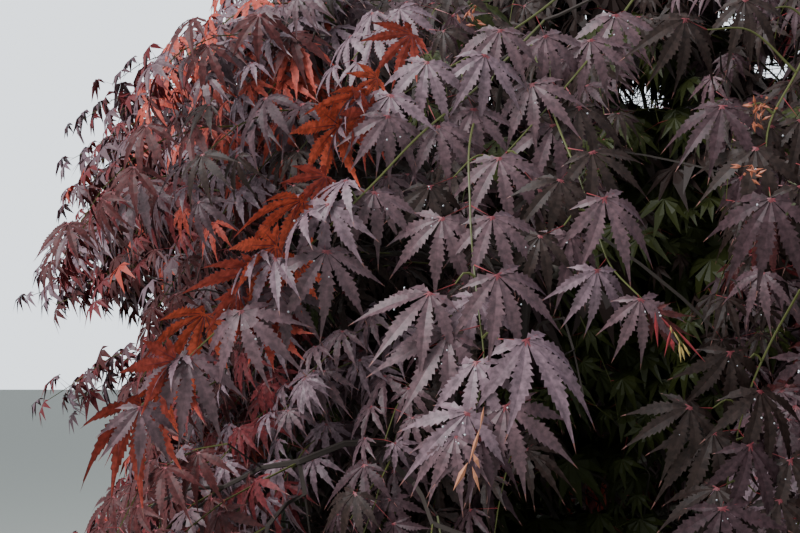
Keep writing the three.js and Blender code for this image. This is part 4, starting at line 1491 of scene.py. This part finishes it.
def add_leaves(leaves, random):
    """All leaves as joined pieces, by tint and fineness, with the veins, tips and lilac upper sides of painted
    sheen.
    """
    _, hubs, directions, faces_up, sizes, tints = leaves
    levels = leaf_levels(hubs, random)
    pick = random.integers(0, 1000, len(hubs))
    extras = {"veins": Heap(), "tips": Heap(), "tops": Heap()}
    for level, (chosen, forms) in levels.items():
        for index, tint in enumerate(TINT_NAMES):
            blades = Heap()
            for k, (vertices, parts) in enumerate(forms):
                own = chosen & (tints == index) & (pick % len(forms) == k)
                if own.any():
                    copies = (hubs[own], directions[own], faces_up[own], sizes[own])
                    blades.add(*instances(vertices, parts["blade"], *copies))
                    for part in ("veins", "tips"):
                        if len(parts[part]):
                            extras[part].add(*instances(vertices, parts[part], *copies))
                    # Painted sheen: fine red leaves get a lilac upper side above their red blade
                    if level == "fine" and tint in RED_BENEATH:
                        lifted = vertices + [0, 0, LEAF_THICKNESS]
                        extras["tops"].add(*instances(lifted, parts["blade"], *copies))
            if blades.count:
                detailed = level in ("fine", "toothed")
                add_split(f"{tint}_leaves_{level}", blades, leaf_material(tint, detailed))
    add_split("leaf_veins", extras["veins"], paint("leaf_vein"))
    add_split("leaf_tips", extras["tips"], paint("leaf_tip"))
    add_split("lilac_sheen_tops", extras["tops"], leaf_material("lilac", True))


def add_folded():
    """Cream and peach buds and crimson folded leaves at the placed shoots' ends."""
    for name, bodies in FOLDED.items():
        starts = np.array([at_pixel(x, y, metres) for x, y, _, _, metres, _ in bodies])
        ends = np.array([at_pixel(x, y, metres) for _, _, x, y, metres, _ in bodies])
        heap = Heap()
        heap.add(*spindles(starts, ends, np.array([body[-1] for body in bodies])))
        add_split(f"{name}_buds", heap, paint(f"{name}_buds"))


def add_seeds(shoots, random):
    """Clusters of winged seeds on thin stalks: those of the picture, and others on a few shoots."""
    nodes = np.concatenate([grown[:, 2] for grown, _ in shoots])
    bearing = nodes[random.uniform(0, 1, len(nodes)) < SEED_SHARE]
    middles = np.concatenate([[at_pixel(*cluster) for cluster in SEED_CLUSTERS], bearing])
    stalks = np.repeat(middles, SEEDS, axis=0)
    starts = stalks + random.normal(0, SEED_SPREAD, stalks.shape) - SEED_SPREAD * UP
    ways = unit(random.normal(0, 1, starts.shape) + 0.2 * UP)
    heap = Heap()
    heap.add(*spindles(starts, starts + SEED_LENGTH * ways, np.full(len(starts), SEED_RADIUS)))
    heap.add(*spikes(stalks, starts, np.full(len(starts), STALK_RADIUS), 3))
    add_split("winged_seeds", heap, paint("seed_wing"))


def add_drops(placed, random):
    """Small drops of water on the leaves in front, coloured pale grey as painted glint."""
    _, hubs, directions, faces_up, sizes, _ = placed
    chosen = random.integers(0, len(hubs), DROPS)
    side = np.cross(directions, faces_up)[chosen]
    onward = random.uniform(*DROP_PLACES, DROPS) * sizes[chosen]
    sideways = random.normal(0, DROP_STRAY, DROPS) * sizes[chosen]
    radii = random.uniform(*DROP_RADII, DROPS)
    middles = hubs[chosen] + onward[:, None] * directions[chosen] + sideways[:, None] * side
    middles = middles + DROP_LIFT * radii[:, None] * faces_up[chosen]
    levels = np.linspace(-1, 1, DROP_RINGS)
    rings = np.sqrt(1 - (0.98 * levels) ** 2)
    points = middles[:, None] + (radii[:, None] * levels)[..., None] * UP
    heap = Heap()
    heap.add(*tubes(points, radii[:, None] * rings, DROP_SIDES))
    material = paint("water")
    shader_of(material).inputs["Specular IOR Level"].default_value = WATER_SHINE
    add_split("water_drops", heap, material)


def add_twigs(runs, shoots, stems, leaves):
    """Twigs, shoots and petioles as joined pieces."""
    thick, thin, green, red = Heap(), Heap(), Heap(), Heap()
    for points, radii in runs:
        heap, sides = (thick, 5) if radii[0] > THICK_TWIG else (thin, 3)
        heap.add(*tubes(points[None], radii[None], sides))
    for grown, scale in shoots:
        near = seen(grown[:, 0])
        for chosen, kept in ((near, slice(None)), (~near, [0, 2, SHOOT_NODES])):
            taper = np.linspace(*SHOOT_RADII, SHOOT_NODES + 1)[kept]
            green.add(*tubes(grown[chosen][:, kept], taper[None] * scale[chosen, None], 3))
    for stem in stems:
        green.add(*tubes(stem[None], np.linspace(*STEM_RADII, len(stem))[None], 6))
    nodes, hubs, _, _, sizes, _ = leaves
    near = seen(hubs)
    for chosen, sides in ((near, 3), (~near, 1)):
        radii = PETIOLE_RADIUS[0] + PETIOLE_RADIUS[1] * sizes[chosen]
        red.add(*spikes(nodes[chosen], hubs[chosen], radii, sides))
    bark = paint("twig_bark")
    add_split("thick_twigs", thick, bark)
    add_split("thin_twigs", thin, bark)
    add_split("shoots", green, paint("olive_shoot"))
    add_split("petioles", red, paint("crimson_petiole"))


# Stage


def add_floor():
    """A plain grey floor, just below the tree's foot."""
    mesh = bpy.data.meshes.new("floor")
    half = FLOOR_HALF
    corners = [(-half, -half, 0), (half, -half, 0), (half, half, 0), (-half, half, 0)]
    mesh.from_pydata(corners, [], [(0, 1, 2, 3)])
    floor = bpy.data.objects.new("floor", mesh)
    bpy.context.scene.collection.objects.link(floor)
    floor.location.z = -FLOOR_DROP
    mesh.materials.append(paint("grey_floor"))


def add_sky():
    """An even pale sky, which the camera sees brighter than it lights the tree."""
    world = bpy.data.worlds.new("studio")
    world.use_nodes = True
    sky = world.node_tree.nodes["Background"]
    sky.inputs["Color"].default_value = (*SKY_COLOUR, 1)
    path = world.node_tree.nodes.new("ShaderNodeLightPath")
    strength = world.node_tree.nodes.new("ShaderNodeMapRange")
    strength.inputs["To Min"].default_value = SKY_LIGHT
    strength.inputs["To Max"].default_value = SKY_BRIGHTNESS
    world.node_tree.links.new(path.outputs["Is Camera Ray"], strength.inputs["Value"])
    world.node_tree.links.new(strength.outputs["Result"], sky.inputs["Strength"])
    bpy.context.scene.world = world
    bpy.context.scene.view_settings.look = "AgX - Base Contrast"


def add_lamp(name, spot, target, size, power):
    """A square soft light that faces a point."""
    lamp = bpy.data.objects.new(name, bpy.data.lights.new(name, "AREA"))
    lamp.data.size = size
    lamp.data.energy = power
    lamp.data.color = LAMP_COLOUR
    lamp.location = spot
    lamp.rotation_euler = (Vector(target) - Vector(spot)).to_track_quat("-Z", "Y").to_euler()
    bpy.context.scene.collection.objects.link(lamp)


def add_camera():
    """The photo's camera."""
    camera = bpy.data.objects.new("camera", bpy.data.cameras.new("camera"))
    camera.data.lens = LENS
    camera.data.sensor_width = SENSOR
    camera.location = CAMERA_PLACE
    camera.rotation_euler = (math.radians(90 + CAMERA_PITCH), 0, 0)
    bpy.context.scene.collection.objects.link(camera)
    bpy.context.scene.camera = camera


def build():
    """The whole scene."""
    random = np.random.default_rng(SEED)
    limbs = make_limbs()
    masses = make_masses(limbs)
    add_floor()
    add_sky()
    for name, values in LAMPS.items():
        add_lamp(name, *values)
    add_camera()
    add_wood(limbs)
    stems, sides, placed = placed_shoots(random)
    more_stems, sprigs = placed_sprigs(random)
    stems += more_stems
    runs, shoots, grown = gather_sprays(masses, stems, random)
    leaves = [np.concatenate(column) for column in zip(grown, placed, sprigs)]
    add_leaves(leaves, random)
    add_twigs(runs, shoots, stems + sides, leaves)
    add_folded()
    add_seeds(shoots, random)
    add_drops(placed, random)
    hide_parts(*[own["name"] for own in masses])


build()
